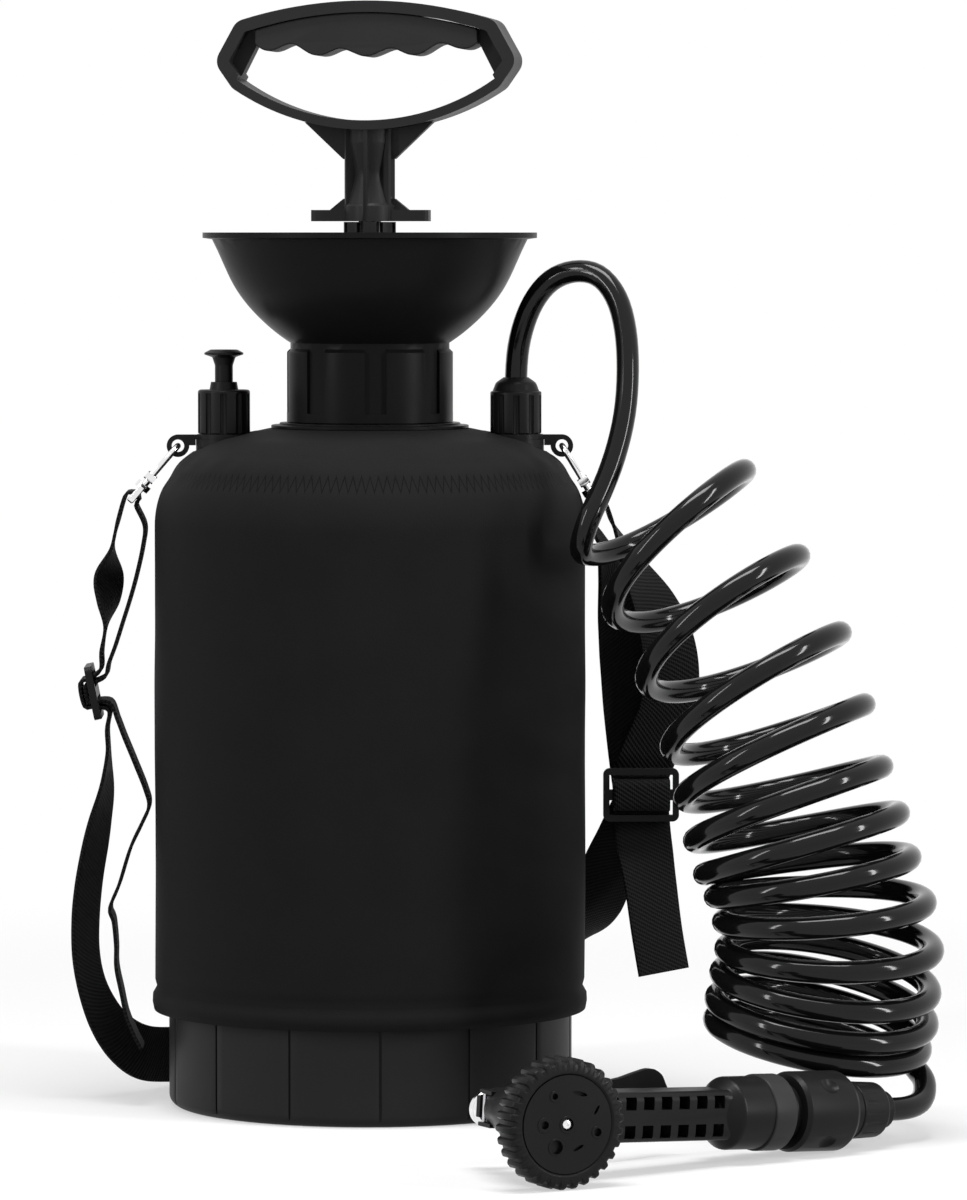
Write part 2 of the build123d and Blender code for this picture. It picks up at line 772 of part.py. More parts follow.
def make_slider():
    frame = Box(slider_width, slider_height, slider_thickness)
    frame = fillet(frame.edges().filter_by(Axis.Z), 3)
    slots = [Pos(0, side * slider_slot_offset, 0) * Box(slider_slot_width, slider_slot, 8)
             for side in (-1, 1)]
    return frame - slots


def slider_pass(place, layer, shift=0.0):
    """Strap stations from top to bottom, out over an adjuster's middle bar and back."""
    if layer == 1:
        half = [(5.8, -6.5), (4.1, 0.6), (3.5, 2.9)]
    else:
        half = [(9.2, -5.2), (6.3, 0.4), (5.2, 4.9)]
    whole = half + [(-up, out) for up, out in reversed(half)]
    return [(place.from_local_coords((shift, up, out)), place.x_dir) for up, out in whole]


def bar_loop(side):
    """Strap stations over a hook eye's bar, from the tank side to the outer side."""
    plane = hook_plane(side)
    half = [(1.0, 3.2), (-1.6, 2.6), (-3.0, 0.9)]
    whole = [(x, -side * z) for x, z in half] + [(x, side * z) for x, z in reversed(half)]
    return [(plane.from_local_coords((eye_bar + x, 0, z)), (0, 1, 0)) for x, z in whole]


# The strap's path as (point, width direction), from the left loose end to the right one
deep = (0, 1, 0)
upright = (0, 0, 1)
wide = (1, 0, 0)
left_tail = [
    ((-102.0, -3, 25.7), deep), ((-104.7, -3, 31.0), deep), ((-108.7, -3, 40.5), deep),
    ((-111.0, -3, 51.0), deep), ((-113.2, -3, 62.0), deep), ((-113.4, -2, 72.0), deep),
    ((-114.4, -2, 82.7), deep), ((-116.0, -2, 88.5), deep), ((-112.0, -1, 98.8), deep),
    ((-107.0, 0, 114.8), deep), ((-102.0, 0, 125.5), deep), ((-98.6, 0, 133.9), deep),
    ((-100.2, 0, 141.5), deep), ((-105.1, 0, 154.0), deep), ((-109.6, 0, 165.0), deep),
    ((-112.6, 0, 173.0), deep),
]
left_inner_strand = [
    ((-116.4, 0, 197.5), deep), ((-113.6, 0, 205.0), deep), ((-110.4, 0, 215.0), deep),
    ((-106.6, 0, 227.0), deep), ((-103.6, 0, 238.0), deep), ((-101.0, 0, 250.0), deep),
    ((-100.2, 0, 259.0), deep),
]
left_outer_strand = [
    ((-111.9, 0, 262.0), deep), ((-114.9, 0, 249.0), deep), ((-116.4, 0, 236.4), (0.45, 0.9, 0)),
    ((-116.6, 0, 225.3), (0.35, 0.95, 0)), ((-117.8, 0, 214.0), deep), ((-119.6, 0, 203.0), deep),
]
back_strand = [
    ((-117.2, 0, 168.5), deep), ((-117.0, 1, 159.0), deep), ((-117.6, 2, 148.0), (0.1, 1, 0)),
    ((-119.0, 4, 136.2), (0.25, 0.95, 0)), ((-121.2, 5, 125.5), (0.35, 0.93, 0)),
    ((-123.2, 6, 114.8), (0.4, 0.9, 0)), ((-126.0, 7, 98.8), (0.42, 0.9, 0)),
    ((-127.6, 9, 82.7), (0.42, 0.9, 0)), ((-127.6, 11, 66.0), (0.4, 0.9, 0.1)),
    ((-125.0, 14, 50.6), (0.35, 0.85, 0.3)), ((-120.0, 19, 37.0), (0.3, 0.7, 0.5)),
    ((-113.0, 27, 26.0), (0.2, 0.5, 0.7)), ((-103.5, 40, 18.0), (0.1, 0.25, 0.9)),
    ((-91.0, 60, 14.5), (0, 0.1, 1)), ((-70.0, 84, 13.0), upright), ((-40.0, 101, 13.0), upright),
    ((-5.0, 109, 15.0), upright), ((28.0, 106, 22.0), (0.1, 0, 1)), ((56.0, 94, 34.0), (0.3, 0, 1)),
    ((78.0, 76, 48.0), (0.5, 0, 0.9)), ((92.0, 56, 64.0), (0.7, -0.1, 0.7)),
    ((101.0, 40, 82.0), (0.85, -0.1, 0.4)), ((108.0, 29, 103.0), (0.95, -0.1, 0.2)),
    ((115.0, 21.5, 118.0), wide),
]
right_inner_strand = [
    ((119.4, 19, 156.0), wide), ((117.2, 18.5, 176.0), wide), ((115.6, 17, 196.0), (1, 0.1, 0)),
    ((113.6, 14, 214.0), (0.9, 0.4, 0)), ((109.0, 10, 233.0), (0.6, 0.8, 0)),
    ((102.8, 5, 250.0), (0.2, 1, 0)), ((99.0, 1, 258.3), deep),
]
right_outer_strand = [
    ((107.9, -0.5, 260.0), deep), ((112.4, 0, 250.0), (0.2, 1, 0)), ((118.0, 2, 238.0), (0.5, 0.85, 0)),
    ((127.0, 5, 222.0), (0.8, 0.6, 0)), ((133.0, 7.5, 206.0), (0.95, 0.3, 0)),
    ((135.0, 9.5, 190.0), (1, 0.1, 0)), ((133.0, 11.5, 174.0), wide), ((125.6, 15.2, 156.0), wide),
]
right_tail = [
    ((122.9, 15.2, 116.0), wide), ((124.4, 12.8, 106.0), (0.95, 0.25, 0)),
    ((126.0, 11, 95.0), (0.9, 0.35, 0)), ((128.5, 8.5, 76.0), (0.9, 0.4, 0)),
    ((131.6, 7, 57.5), (0.9, 0.4, 0)),
]


def make_strap():
    return ribbon(
        left_tail + list(reversed(slider_pass(left_slider_place, 1))) + left_inner_strand
        + bar_loop(-1) + left_outer_strand + slider_pass(left_slider_place, 2) + back_strand
        + list(reversed(slider_pass(right_slider_place, 1, -0.4))) + right_inner_strand
        + bar_loop(1) + right_outer_strand + slider_pass(right_slider_place, 2, 0.4) + right_tail,
        strap_width, strap_thickness,
    )


# Spray gun frame: local -Y is the spray direction, and the handle leans back from +X
gun = Location(gun_place) * Rot(0, 0, gun_turn) * Rot(0, gun_tilt, 0)
along_handle = gun * Rot(0, 0, handle_lean) * Rot(0, 90, 0)
along_barrel = gun * Rot(-90, 0, 0)


def make_gun_body():
    barrel = turned(
        (0, barrel_front), (12.5, barrel_front), (gun_barrel_radius, barrel_front + 3),
        (gun_barrel_radius, barrel_back - 10, 6), (11, barrel_back), (0, barrel_back),
    )
    spindle = disc(4.0, dial_front + 3.4, barrel_front)
    stem_bore = disc(stem_pull_radius + sliding_fit, barrel_back - 22, barrel_back)
    head = Rot(-90, 0, 0) * (barrel + spindle - stem_bore)
    px, py = lever_pivot
    gap = lever_hub_length + 0.6
    ear = Pos(px, py, 0) * Cylinder(lever_hub_radius + 0.3, lever_ear_span)
    ear += Pos(px + 3, py - 5, 0) * Box(12, 10, lever_ear_span)
    ear -= Pos(px, py, 0) * Cylinder(lever_hub_radius + 0.8, gap) + Pos(px, py + 2, 0) * Box(20, 10, gap)
    pin_hole = Pos(px, py, 0) * Cylinder(lever_pin_radius, 30)
    head = head + ear - pin_hole
    length = cage_end - cage_start
    cage = Pos((cage_start + cage_end) / 2, 0, 0) * Box(length, cage_depth, cage_height)
    cage = fillet(cage.edges().filter_by(Axis.X), 4)
    for i in range(window_count):
        for row in (-1, 1):
            x = cage_end - 8 - i * window_pitch
            cage -= Pos(x, 0, row * 5.9) * Box(5.6, cage_depth + 4, 5.4)
    inlet = turned(
        (0, cage_end - 6), (8, cage_end - 6), (inlet_radius, cage_end + 2, 3),
        (inlet_radius, inlet_end), (0, inlet_end),
    )
    handle = cage + Rot(0, 90, 0) * inlet
    return gun * (head + Rot(0, 0, handle_lean) * handle)


def make_inlet_ring():
    body = turned(
        (0, inlet_end), (inlet_ring_radius, inlet_end, 0.8), (inlet_ring_radius, inlet_ring_end, 1.5),
        (nipple_radius, inlet_ring_end), (nipple_radius, nipple_end, 1.0), (3.5, nipple_end),
        (3.5, inlet_end + 4), (0, inlet_end + 4),
    )
    return along_handle * body


# Spray dial: a scalloped ring with a face plate of nozzle patterns
def make_dial():
    back = dial_front + dial_thickness
    dial = turned(
        (4.0 + sliding_fit, dial_front + 2.2), (20.4, dial_front + 2.2), (20.4, dial_front),
        (dial_radius - 2, dial_front), (dial_radius, dial_front + 3, 1), (dial_radius, back - 3, 1),
        (dial_radius - 2, back), (4.0 + sliding_fit, back),
    )
    scallop = Pos(dial_radius + 1.2, 0, dial_front - 1) * extrude(Circle(2.8), dial_thickness + 2)
    return along_barrel * (dial - around(18, scallop))


def make_dial_face():
    plate = disc(20.2, dial_front + 0.4, dial_front + 2.2)
    holes = [Rot(0, 0, a) * Pos(11.5, 0, dial_front + 1) * Cylinder(2.2, 6) for a in (20, 140, 260)]
    slots = [Rot(0, 0, a) * Pos(11.5, 0, dial_front + 1) * Box(2.0, 6.5, 6) for a in (80, 200, 320)]
    return along_barrel * (plate - holes - slots)


# Trigger lever: a leaf-shaped plate pivoted across the back of the barrel
def make_trigger():
    px, py = lever_pivot
    outer = [(px, 4.0), (0, 5.4), (20, 6.0), (40, 5.0), (66, 8.5), (88, 15.0)]
    inner = [(88.6, 12.2), (66.6, 5.6), (40, 2.1), (20, 3.1), (0, 2.4), (px, 1.4)]
    outer = [(x, py + up) for x, up in outer]
    inner = [(x, py + up) for x, up in inner]
    strip = make_face([
        Spline(*outer), Line(outer[-1], inner[0]), Spline(*inner), Line(inner[-1], outer[0]),
    ])
    blade = extrude(strip, 20, both=True)
    leaf = make_face([
        Polyline((px - 5, 5.8), (px + 9, 5.8)),
        Spline((px + 9, 5.8), (4, 8), (24, 13), (44, 9), (70, 7.5), (90, 6)),
        Line((90, 6), (90, -6)),
        Spline((90, -6), (70, -7.5), (44, -9), (24, -13), (4, -8), (px + 9, -5.8)),
        Polyline((px + 9, -5.8), (px - 5, -5.8), (px - 5, 5.8)),
    ])
    blade = blade & extrude(Plane.XZ * leaf, 100, both=True)
    hub = Pos(px, py, 0) * Cylinder(lever_hub_radius, lever_hub_length)
    pin_hole = Pos(px, py, 0) * Cylinder(lever_pin_radius + sliding_fit, 30)
    stem_hole = Pos(0, barrel_back + 4, 0) * Rot(90, 0, 0) * Cylinder(4.2, 16)
    return gun * (blade + hub - pin_hole - stem_hole)


def make_trigger_pin():
    px, py = lever_pivot
    head = Pos(px, py, lever_ear_span / 2 + 0.5) * Cylinder(2.6, 1.0)
    return gun * (Pos(px, py, 0) * Cylinder(lever_pin_radius, lever_ear_span) + head)


# Valve stem with its chrome flow nut behind the lever
def make_valve_stem():
    stem = disc(stem_pull_radius, barrel_back - 18, barrel_back + 8)
    nut = turned(
        (0, barrel_back + 7), (6.0, barrel_back + 7, 0.8), (6.5, barrel_back + 13, 1.5),
        (0, barrel_back + 14),
    )
    return along_barrel * (stem + nut)


# Quick connector on the hose: core, sliding sleeve, seal, ribbed nut and collar
def make_connector_core():
    bore = nipple_radius + 0.1
    groove = nipple_end - 5
    front = inlet_ring_end + 0.4
    back = sleeve_end + 6
    core = turned(
        (bore, front), (core_radius - 0.6, front), (core_radius, sleeve_start - 2),
        (core_radius, back), (3.5, back), (3.5, nipple_end + 1), (bore, nipple_end + 1),
        (bore, groove + 2.2), (bore + 1.4, groove + 2.2), (bore + 1.4, groove), (bore, groove),
    )
    return along_handle * core


def make_connector_seal():
    groove = nipple_end - 5
    return along_handle * ring(
        nipple_radius + 1.4, nipple_radius + sliding_fit, groove + 0.05, groove + 2.15
    )


def make_connector_sleeve():
    sleeve = turned(
        (core_radius + 0.08, sleeve_start), (sleeve_radius - 1.2, sleeve_start),
        (sleeve_radius, sleeve_start + 2, 1), (sleeve_radius, sleeve_end - 2, 1),
        (sleeve_radius - 1.2, sleeve_end), (core_radius + 0.08, sleeve_end),
    )
    thumb = Pos(sleeve_radius + 4.6, 0, (sleeve_start + sleeve_end) / 2) * Sphere(6.4)
    return along_handle * (sleeve - around(4, thumb, 45))


def make_hose_nut():
    low = sleeve_end + 6
    nut = turned(
        (3.5, low), (hose_nut_radius, low, 0.8), (hose_nut_radius - 0.6, hose_nut_end, 1.5),
        (8.0, hose_nut_end), (8.0, hose_collar_end, 1.0), (hose_radius + 0.1, hose_collar_end),
        (hose_radius + 0.1, hose_nut_end - 6), (3.5, hose_nut_end - 6),
    )
    rib_gap = Pos(hose_nut_radius + 0.5, 0, low + 2) * extrude(Circle(1.0), hose_nut_end - low)
    return along_handle * (nut - around(16, rib_gap))


# Hose: a free lead over the shoulder, the coil as its outer shape, and a short tail
hose_lead_route = [
    (65.0, 0, hose_seat), (65.0, 0, 331.5), (67.4, -5, 346), (72.4, -11, 359), (80.0, -17, 368.5),
    (90.5, -22, 372.5), (101.0, -27.5, 371.0), (109.0, -34, 361), (112.6, -42, 346),
    (113.2, -50, 328), (111.6, -57, 309), (106.6, -64, 290), (100.2, -71, 275), (94.6, -76.5, 264.0),
    (89.6, -78.0, 255.0),
]
coil_route = [
    (122.7, -70, 275.2), (136.7, -78, 252.1), (154.3, -90, 221.1), (167.6, -99, 191.4),
    (174.5, -105, 164.7), (180.3, -109, 142.3), (190.4, -112, 110.8), (198.4, -111, 79.4),
    (193.8, -106.5, 48.5),
]
connector_end = along_handle * Pos(0, 0, hose_nut_end - 6)
hose_exit = along_handle * Pos(0, 0, hose_collar_end)


def make_hose_tail():
    start = connector_end.position
    straight = (hose_exit.position - start).normalized()
    route = [
        tuple(start), tuple(start + straight * 15.0), (235.6, -133.0, 16.5), (239.5, -121.5, 22.5),
        (239.6, -110.5, 33.0), (238.4, -102.0, 44.0),
    ]
    return tube_along(route, hose_radius)


def make_hose_coil():
    outer, path, radii = tube_along(coil_route, coil_outer_radius)
    inner, path, radii = tube_along(coil_route, coil_outer_radius - 2 * hose_radius)
    return outer - inner, path, radii


parts = {
    "foot_cup": make_foot_cup(),
    "tank": make_tank(),
    "insulating_cover": make_cover(),
    "neck_ring": make_neck_ring(),
    "funnel": make_funnel(),
    "neck_seal": make_neck_seal(),
    "pump_cap": make_pump_cap(),
    "pump_cap_seal": make_pump_seal(),
    "rod_guide": make_rod_guide(),
    "pump_barrel": make_barrel(),
    "foot_valve": make_foot_valve(),
    "piston": make_piston(),
    "piston_seal": make_piston_seal(),
    "piston_rod": make_piston_rod(),
    "pump_handle": make_handle(),
    "handle_grip": make_grip(),
    "relief_valve_nut": make_relief_nut(),
    "relief_valve_stem": make_relief_stem(),
    "relief_valve_spring": make_relief_spring(),
    "relief_valve_seal": make_boss_seal(-1),
    "outlet_nut": make_outlet_nut(),
    "outlet_fitting": make_outlet_fitting(),
    "outlet_seal": make_boss_seal(1),
    "dip_tube": make_dip_tube(),
    "dip_tube_filter": make_dip_filter(),
    "shoulder_strap": make_strap(),
    "left_slider": left_slider_place * make_slider(),
    "right_slider": right_slider_place * make_slider(),
    "gun_body": make_gun_body(),
    "gun_inlet_ring": make_inlet_ring(),
    "spray_dial": make_dial(),
    "dial_face": make_dial_face(),
    "trigger": make_trigger(),
    "trigger_pin": make_trigger_pin(),
    "valve_stem": make_valve_stem(),
    "connector_core": make_connector_core(),
    "connector_seal": make_connector_seal(),
    "connector_sleeve": make_connector_sleeve(),
    "hose_nut": make_hose_nut(),
}
for side, word in ((-1, "left"), (1, "right")):
    parts[word + "_lug"] = make_lug(side)
    parts[word + "_hook"] = make_hook_body(side)
    parts[word + "_hook_gate"] = make_hook_gate(side)
    parts[word + "_hook_eye"] = make_hook_eye(side)

for name, made in (
    ("hose_lead", tube_along(hose_lead_route, hose_radius)),
    ("hose_coil", make_hose_coil()),
    ("hose_tail", make_hose_tail()),
):
    solid, path, radii = made
    parts[name] = solid
    print(name, "length", round(path.length, 1), "radii", [round(r, 1) for r in radii])
    print(name, "volume", round(solid.volume), "section times length",
          round(math.pi * hose_radius**2 * path.length))

for name, solid in parts.items():
    export_step(solid, "parts/" + name + ".step")
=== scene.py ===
import json
import math

import bmesh
import bpy
from mathutils import Matrix, Vector, noise

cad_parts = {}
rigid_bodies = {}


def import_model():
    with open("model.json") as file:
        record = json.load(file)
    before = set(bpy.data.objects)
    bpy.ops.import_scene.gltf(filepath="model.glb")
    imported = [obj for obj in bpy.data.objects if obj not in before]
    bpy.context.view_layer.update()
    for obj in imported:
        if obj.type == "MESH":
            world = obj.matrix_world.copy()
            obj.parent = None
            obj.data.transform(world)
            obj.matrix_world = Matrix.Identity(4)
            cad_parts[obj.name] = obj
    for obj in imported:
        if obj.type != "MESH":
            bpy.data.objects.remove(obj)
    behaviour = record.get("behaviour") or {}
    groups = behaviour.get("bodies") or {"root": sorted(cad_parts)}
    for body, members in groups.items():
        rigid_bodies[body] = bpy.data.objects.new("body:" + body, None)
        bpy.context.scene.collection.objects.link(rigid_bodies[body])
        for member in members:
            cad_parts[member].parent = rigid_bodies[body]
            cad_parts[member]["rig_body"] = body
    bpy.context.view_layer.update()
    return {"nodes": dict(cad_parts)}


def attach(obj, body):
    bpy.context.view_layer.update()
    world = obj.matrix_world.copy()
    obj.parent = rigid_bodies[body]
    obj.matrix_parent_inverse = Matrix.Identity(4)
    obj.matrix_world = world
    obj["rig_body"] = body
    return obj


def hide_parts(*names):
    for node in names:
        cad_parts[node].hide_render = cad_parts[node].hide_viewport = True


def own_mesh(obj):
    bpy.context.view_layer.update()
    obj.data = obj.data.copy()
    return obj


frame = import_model()
nodes = frame["nodes"]
mm = 0.001

# Studio: a white paper floor and a soft box on each side and above, as for a catalogue picture.
# The paper shows white to the camera and in reflections, and keeps the soft contact shadows.
floor_size = 40.0
paper_white = (0.93, 0.93, 0.93, 1)
paper_bounce = (0.35, 0.35, 0.35, 1)
shadow_share = 0.5
shadow_reach = (0.3, 0.95)
room_light = 0.2


def math_node(tree, operation, *values):
    """A Math node: values are numbers or the outputs that feed it."""
    node = tree.nodes.new("ShaderNodeMath")
    node.operation = operation
    for socket, value in zip(node.inputs, values):
        if isinstance(value, (int, float)):
            socket.default_value = value
        else:
            tree.links.new(value, socket)
    return node.outputs[0]


def glow_for_eyes(tree):
    """A node value that is 1 for camera, glossy and transmission rays and 0 for others."""
    path = tree.nodes.new("ShaderNodeLightPath")
    either = math_node(tree, "MAXIMUM", path.outputs["Is Camera Ray"], path.outputs["Is Glossy Ray"])
    return math_node(tree, "MAXIMUM", either, path.outputs["Is Transmission Ray"])


def paper():
    material = bpy.data.materials.new("white_paper")
    material.use_nodes = True
    tree = material.node_tree
    tree.nodes.clear()
    matt = tree.nodes.new("ShaderNodeBsdfDiffuse")
    matt.inputs["Color"].default_value = paper_white
    glow = tree.nodes.new("ShaderNodeEmission")
    glow.inputs["Color"].default_value = (1, 1, 1, 1)
    where = tree.nodes.new("ShaderNodeTexCoord")
    away = tree.nodes.new("ShaderNodeVectorMath")
    away.operation = "LENGTH"
    fade = tree.nodes.new("ShaderNodeMapRange")
    fade.interpolation_type = "SMOOTHSTEP"
    fade.inputs["From Min"].default_value, fade.inputs["From Max"].default_value = shadow_reach
    fade.inputs["To Min"].default_value = 1 - shadow_share
    seen = tree.nodes.new("ShaderNodeMixShader")
    tree.links.new(where.outputs["Object"], away.inputs[0])
    tree.links.new(away.outputs["Value"], fade.inputs["Value"])
    tree.links.new(fade.outputs["Result"], seen.inputs[0])
    tree.links.new(matt.outputs[0], seen.inputs[1])
    tree.links.new(glow.outputs[0], seen.inputs[2])
    bounce = tree.nodes.new("ShaderNodeBsdfDiffuse")
    bounce.inputs["Color"].default_value = paper_bounce
    either = tree.nodes.new("ShaderNodeMixShader")
    out = tree.nodes.new("ShaderNodeOutputMaterial")
    tree.links.new(glow_for_eyes(tree), either.inputs[0])
    tree.links.new(bounce.outputs[0], either.inputs[1])
    tree.links.new(seen.outputs[0], either.inputs[2])
    tree.links.new(either.outputs[0], out.inputs["Surface"])
    return material


def make_floor():
    mesh = bmesh.new()
    bmesh.ops.create_grid(mesh, x_segments=1, y_segments=1, size=floor_size / 2)
    data = bpy.data.meshes.new("paper_floor")
    mesh.to_mesh(data)
    mesh.free()
    data.materials.append(paper())
    floor = bpy.data.objects.new("paper_floor", data)
    bpy.context.collection.objects.link(floor)


make_floor()

world = bpy.data.worlds.new("studio")
bpy.context.scene.world = world
world.use_nodes = True
sky = world.node_tree.nodes["Background"]
sky.inputs["Color"].default_value = (1, 1, 1, 1)
room = math_node(world.node_tree, "MAXIMUM", glow_for_eyes(world.node_tree), room_light)
world.node_tree.links.new(room, sky.inputs["Strength"])


def soft_box(name, place, target, size, power):
    lamp = bpy.data.lights.new(name, "AREA")
    lamp.shape = "RECTANGLE"
    lamp.size, lamp.size_y = size
    lamp.energy = power
    box = bpy.data.objects.new(name, lamp)
    bpy.context.collection.objects.link(box)
    box.location = place
    box.rotation_euler = (Vector(target) - Vector(place)).to_track_quat("-Z", "Y").to_euler()


middle = (0.03, -0.05, 0.22)
soft_box("left_box", (-1.5, -1.1, 0.9), middle, (0.16, 1.3), 13)
soft_box("right_box", (1.7, -0.9, 0.8), middle, (0.16, 1.3), 20)
soft_box("top_box", (0.0, -0.4, 2.1), middle, (1.2, 0.6), 36)

# Camera: a long lens three metres in front of the tank's axis, at the height of the funnel's rim.
# It looks a little down and to the right, which puts the tank left of the picture's middle.
picture_width = 967
picture_height = 1200
focal_pixels = 6734
camera_place = (0.0, -3.0, 0.387)
axis_column = 370
horizon_row = 237
sensor = 36.0

camera_data = bpy.data.cameras.new("camera")
camera_data.sensor_width = sensor
camera_data.lens = focal_pixels / picture_height * sensor
camera = bpy.data.objects.new("camera", camera_data)
bpy.context.collection.objects.link(camera)
camera.location = camera_place
look_right = math.atan2(picture_width / 2 - axis_column, focal_pixels)
look_down = math.atan2(picture_height / 2 - horizon_row, focal_pixels)
camera.rotation_euler = (math.pi / 2 - look_down, 0, -look_right)
bpy.context.scene.camera = camera
bpy.context.scene.view_settings.view_transform = "Standard"

# Hose: one length of glossy black PVC hose with a long curled middle part.
# It leaves the outlet nut, arches over the shoulder, winds down the coil and ends in the connector.
hose_diameter = 10 * mm
lead_route = [
    (65.0, 0, 318.0), (65.0, 0, 331.5), (67.4, -5, 346), (72.4, -11, 359), (80.0, -17, 368.5),
    (90.5, -22, 372.5), (101.0, -27.5, 371.0), (109.0, -34, 361), (112.6, -42, 346),
    (113.2, -50, 328), (111.6, -57, 309), (106.6, -64, 290), (100.2, -71, 275), (94.6, -76.5, 264.0),
]
coil_route = [
    (122.7, -70, 275.2), (136.7, -78, 252.1), (154.3, -90, 221.1), (167.6, -99, 191.4),
    (174.5, -105, 164.7), (180.3, -109, 142.3), (186, -111, 125.1), (190.4, -112, 110.8),
    (196.4, -112, 95.6), (198.4, -111, 79.4), (196.4, -109, 65.2), (194.8, -107, 52.8),
    (192.6, -105, 41), (191.0, -104.5, 36.5),
]
tail_route = [
    (239.5, -114.0, 23.5), (237.5, -127.0, 16.5), (230.0, -137.5, 14.6), (218.9, -146.2, 15.3),
    (214.1, -149.8, 15.7),
]
coil_turns = 12.5
points_per_turn = 18
# What each half turn of the coil takes of its length, its middle radius and how far it leans
turn_stations = [0, 0.75, 1.75, 2.75, 3.75, 4.75, 5.75, 6.75, 7.75, 8.75, 9.75, 10.75, 12, 12.5]
turn_radii = [40.5, 40.9, 42.4, 43.8, 43.5, 44.0, 44.9, 44.1, 45.3, 45.4, 46.0, 46.8, 45.3, 45.3]
turn_leans = [38, 34, 27.5, 24.7, 19.3, 14.8, 12.5, 6.8, 0.7, -4.6, -9.4, -10, -10.8, -10.8]


def scaled(points):
    return [Vector(point) * mm for point in points]


def nurbs(name, points):
    """A curve object of one NURBS spline with these control points."""
    data = bpy.data.curves.new(name, "CURVE")
    data.dimensions = "3D"
    spline = data.splines.new("NURBS")
    spline.points.add(len(points) - 1)
    for slot, point in zip(spline.points, points):
        slot.co = (*point, 1)
    spline.order_u = 3
    spline.use_endpoint_u = True
    curve = bpy.data.objects.new(name, data)
    bpy.context.collection.objects.link(curve)
    return curve


def line_of(curve):
    """The points that a bevel-less curve passes through."""
    bpy.context.view_layer.update()
    evaluated = curve.evaluated_get(bpy.context.evaluated_depsgraph_get())
    mesh = bpy.data.meshes.new_from_object(evaluated)
    points = [vertex.co.copy() for vertex in mesh.vertices]
    bpy.data.meshes.remove(mesh)
    return points


def smooth(values, i, t):
    """A point on the Catmull-Rom line from values[i] to the next."""
    before, start = values[max(i - 1, 0)], values[i]
    end, after = values[i + 1], values[min(i + 2, len(values) - 1)]
    return 0.5 * (
        2 * start + (end - before) * t + (2 * before - 5 * start + 4 * end - after) * t**2
        + (3 * start - before - 3 * end + after) * t**3
    )


def between(stations, values, at):
    """The value at a station, on a smooth line through the given ones."""
    i = max(k for k, station in enumerate(stations[:-1]) if station <= at + 1e-9)
    return smooth(values, i, (at - stations[i]) / (stations[i + 1] - stations[i]))


def coil_points():
    """The curled part: turns wound round the coil's axis, each with its own size and lean."""
    axis = nurbs("coil_axis", scaled(coil_route))
    axis.data.resolution_u = 16
    line = line_of(axis)
    bpy.data.objects.remove(axis)
    centres = []
    for station in scaled(coil_route):
        centres.append(min(range(len(line)), key=lambda k: (line[k] - station).length))
    found = []
    for k in range(round(coil_turns * points_per_turn) + 1):
        turn = k / points_per_turn
        place = between(turn_stations, centres, turn)
        i = min(int(place), len(line) - 2)
        centre = line[i].lerp(line[i + 1], place - i)
        down = (line[min(i + 3, len(line) - 1)] - line[max(i - 3, 0)]).normalized()
        lean = math.radians(between(turn_stations, turn_leans, turn))
        radius = between(turn_stations, turn_radii, turn) * mm
        right = Vector((math.cos(lean), 0, math.sin(lean)))
        back = right.cross(down).normalized()
        angle = 2 * math.pi * turn
        found.append(centre - radius * math.cos(angle) * right + radius * math.sin(angle) * back)
    return found


def hose_vinyl():
    material = bpy.data.materials.new("hose_vinyl")
    material.use_nodes = True
    tree = material.node_tree
    surface = tree.nodes["Principled BSDF"]
    surface.inputs["Base Color"].default_value = (0.006, 0.006, 0.0065, 1)
    surface.inputs["Specular IOR Level"].default_value = 0.16
    surface.inputs["Coat Weight"].default_value = 0.12
    surface.inputs["Coat Roughness"].default_value = 0.05
    where = tree.nodes.new("ShaderNodeTexCoord")
    cloud = tree.nodes.new("ShaderNodeTexNoise")
    cloud.inputs["Scale"].default_value = 60
    cloud.inputs["Detail"].default_value = 5
    gloss = tree.nodes.new("ShaderNodeMapRange")
    gloss.inputs["To Min"].default_value = 0.08
    gloss.inputs["To Max"].default_value = 0.16
    bump = tree.nodes.new("ShaderNodeBump")
    bump.inputs["Strength"].default_value = 0.06
    bump.inputs["Distance"].default_value = 0.4 * mm
    tree.links.new(where.outputs["Object"], cloud.inputs["Vector"])
    tree.links.new(cloud.outputs["Fac"], gloss.inputs["Value"])
    tree.links.new(gloss.outputs["Result"], surface.inputs["Roughness"])
    tree.links.new(cloud.outputs["Fac"], bump.inputs["Height"])
    tree.links.new(bump.outputs["Normal"], surface.inputs["Normal"])
    return material


hose = nurbs("coiled_hose", scaled(lead_route) + coil_points() + scaled(tail_route))
hose.data.resolution_u = 4
hose.data.bevel_depth = hose_diameter / 2
hose.data.bevel_resolution = 6
hose.data.use_fill_caps = True
hose.data.materials.append(hose_vinyl())
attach(hose, "tank")
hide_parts("hose_lead", "hose_coil", "hose_tail")

# Insulating cover: a sleeve and a round top of black neoprene, joined by a flat-locked seam.
# It is pulled over the tank, turned up at the bottom, and has a hole for the neck and each boss.
cover_radius = 96 * mm
cover_bottom = 43 * mm
cover_top = 302 * mm
cover_slope_foot = 291 * mm
cover_slope_inner = 45 * mm
shoulder_round = 40 * mm
neck_hole = 33 * mm
boss_hole = 13.6 * mm
boss_spacing = 65 * mm
cover_thickness = 3.0 * mm
hem_height = 9.5 * mm
hem_swell = 1.3 * mm
seam_height = 280 * mm
seam_reach = 3.4 * mm
stitches_round = 150
stitches_per_pull = 5
stitch_width = 0.9 * mm
stitch_sink = 3.0
seam_depth = 0.5 * mm
seam_ridge = 0.35 * mm
hem_groove = 0.9 * mm
broad_waves = (14, 0.55 * mm)
fine_waves = (45, 0.12 * mm)
cover_columns = 288


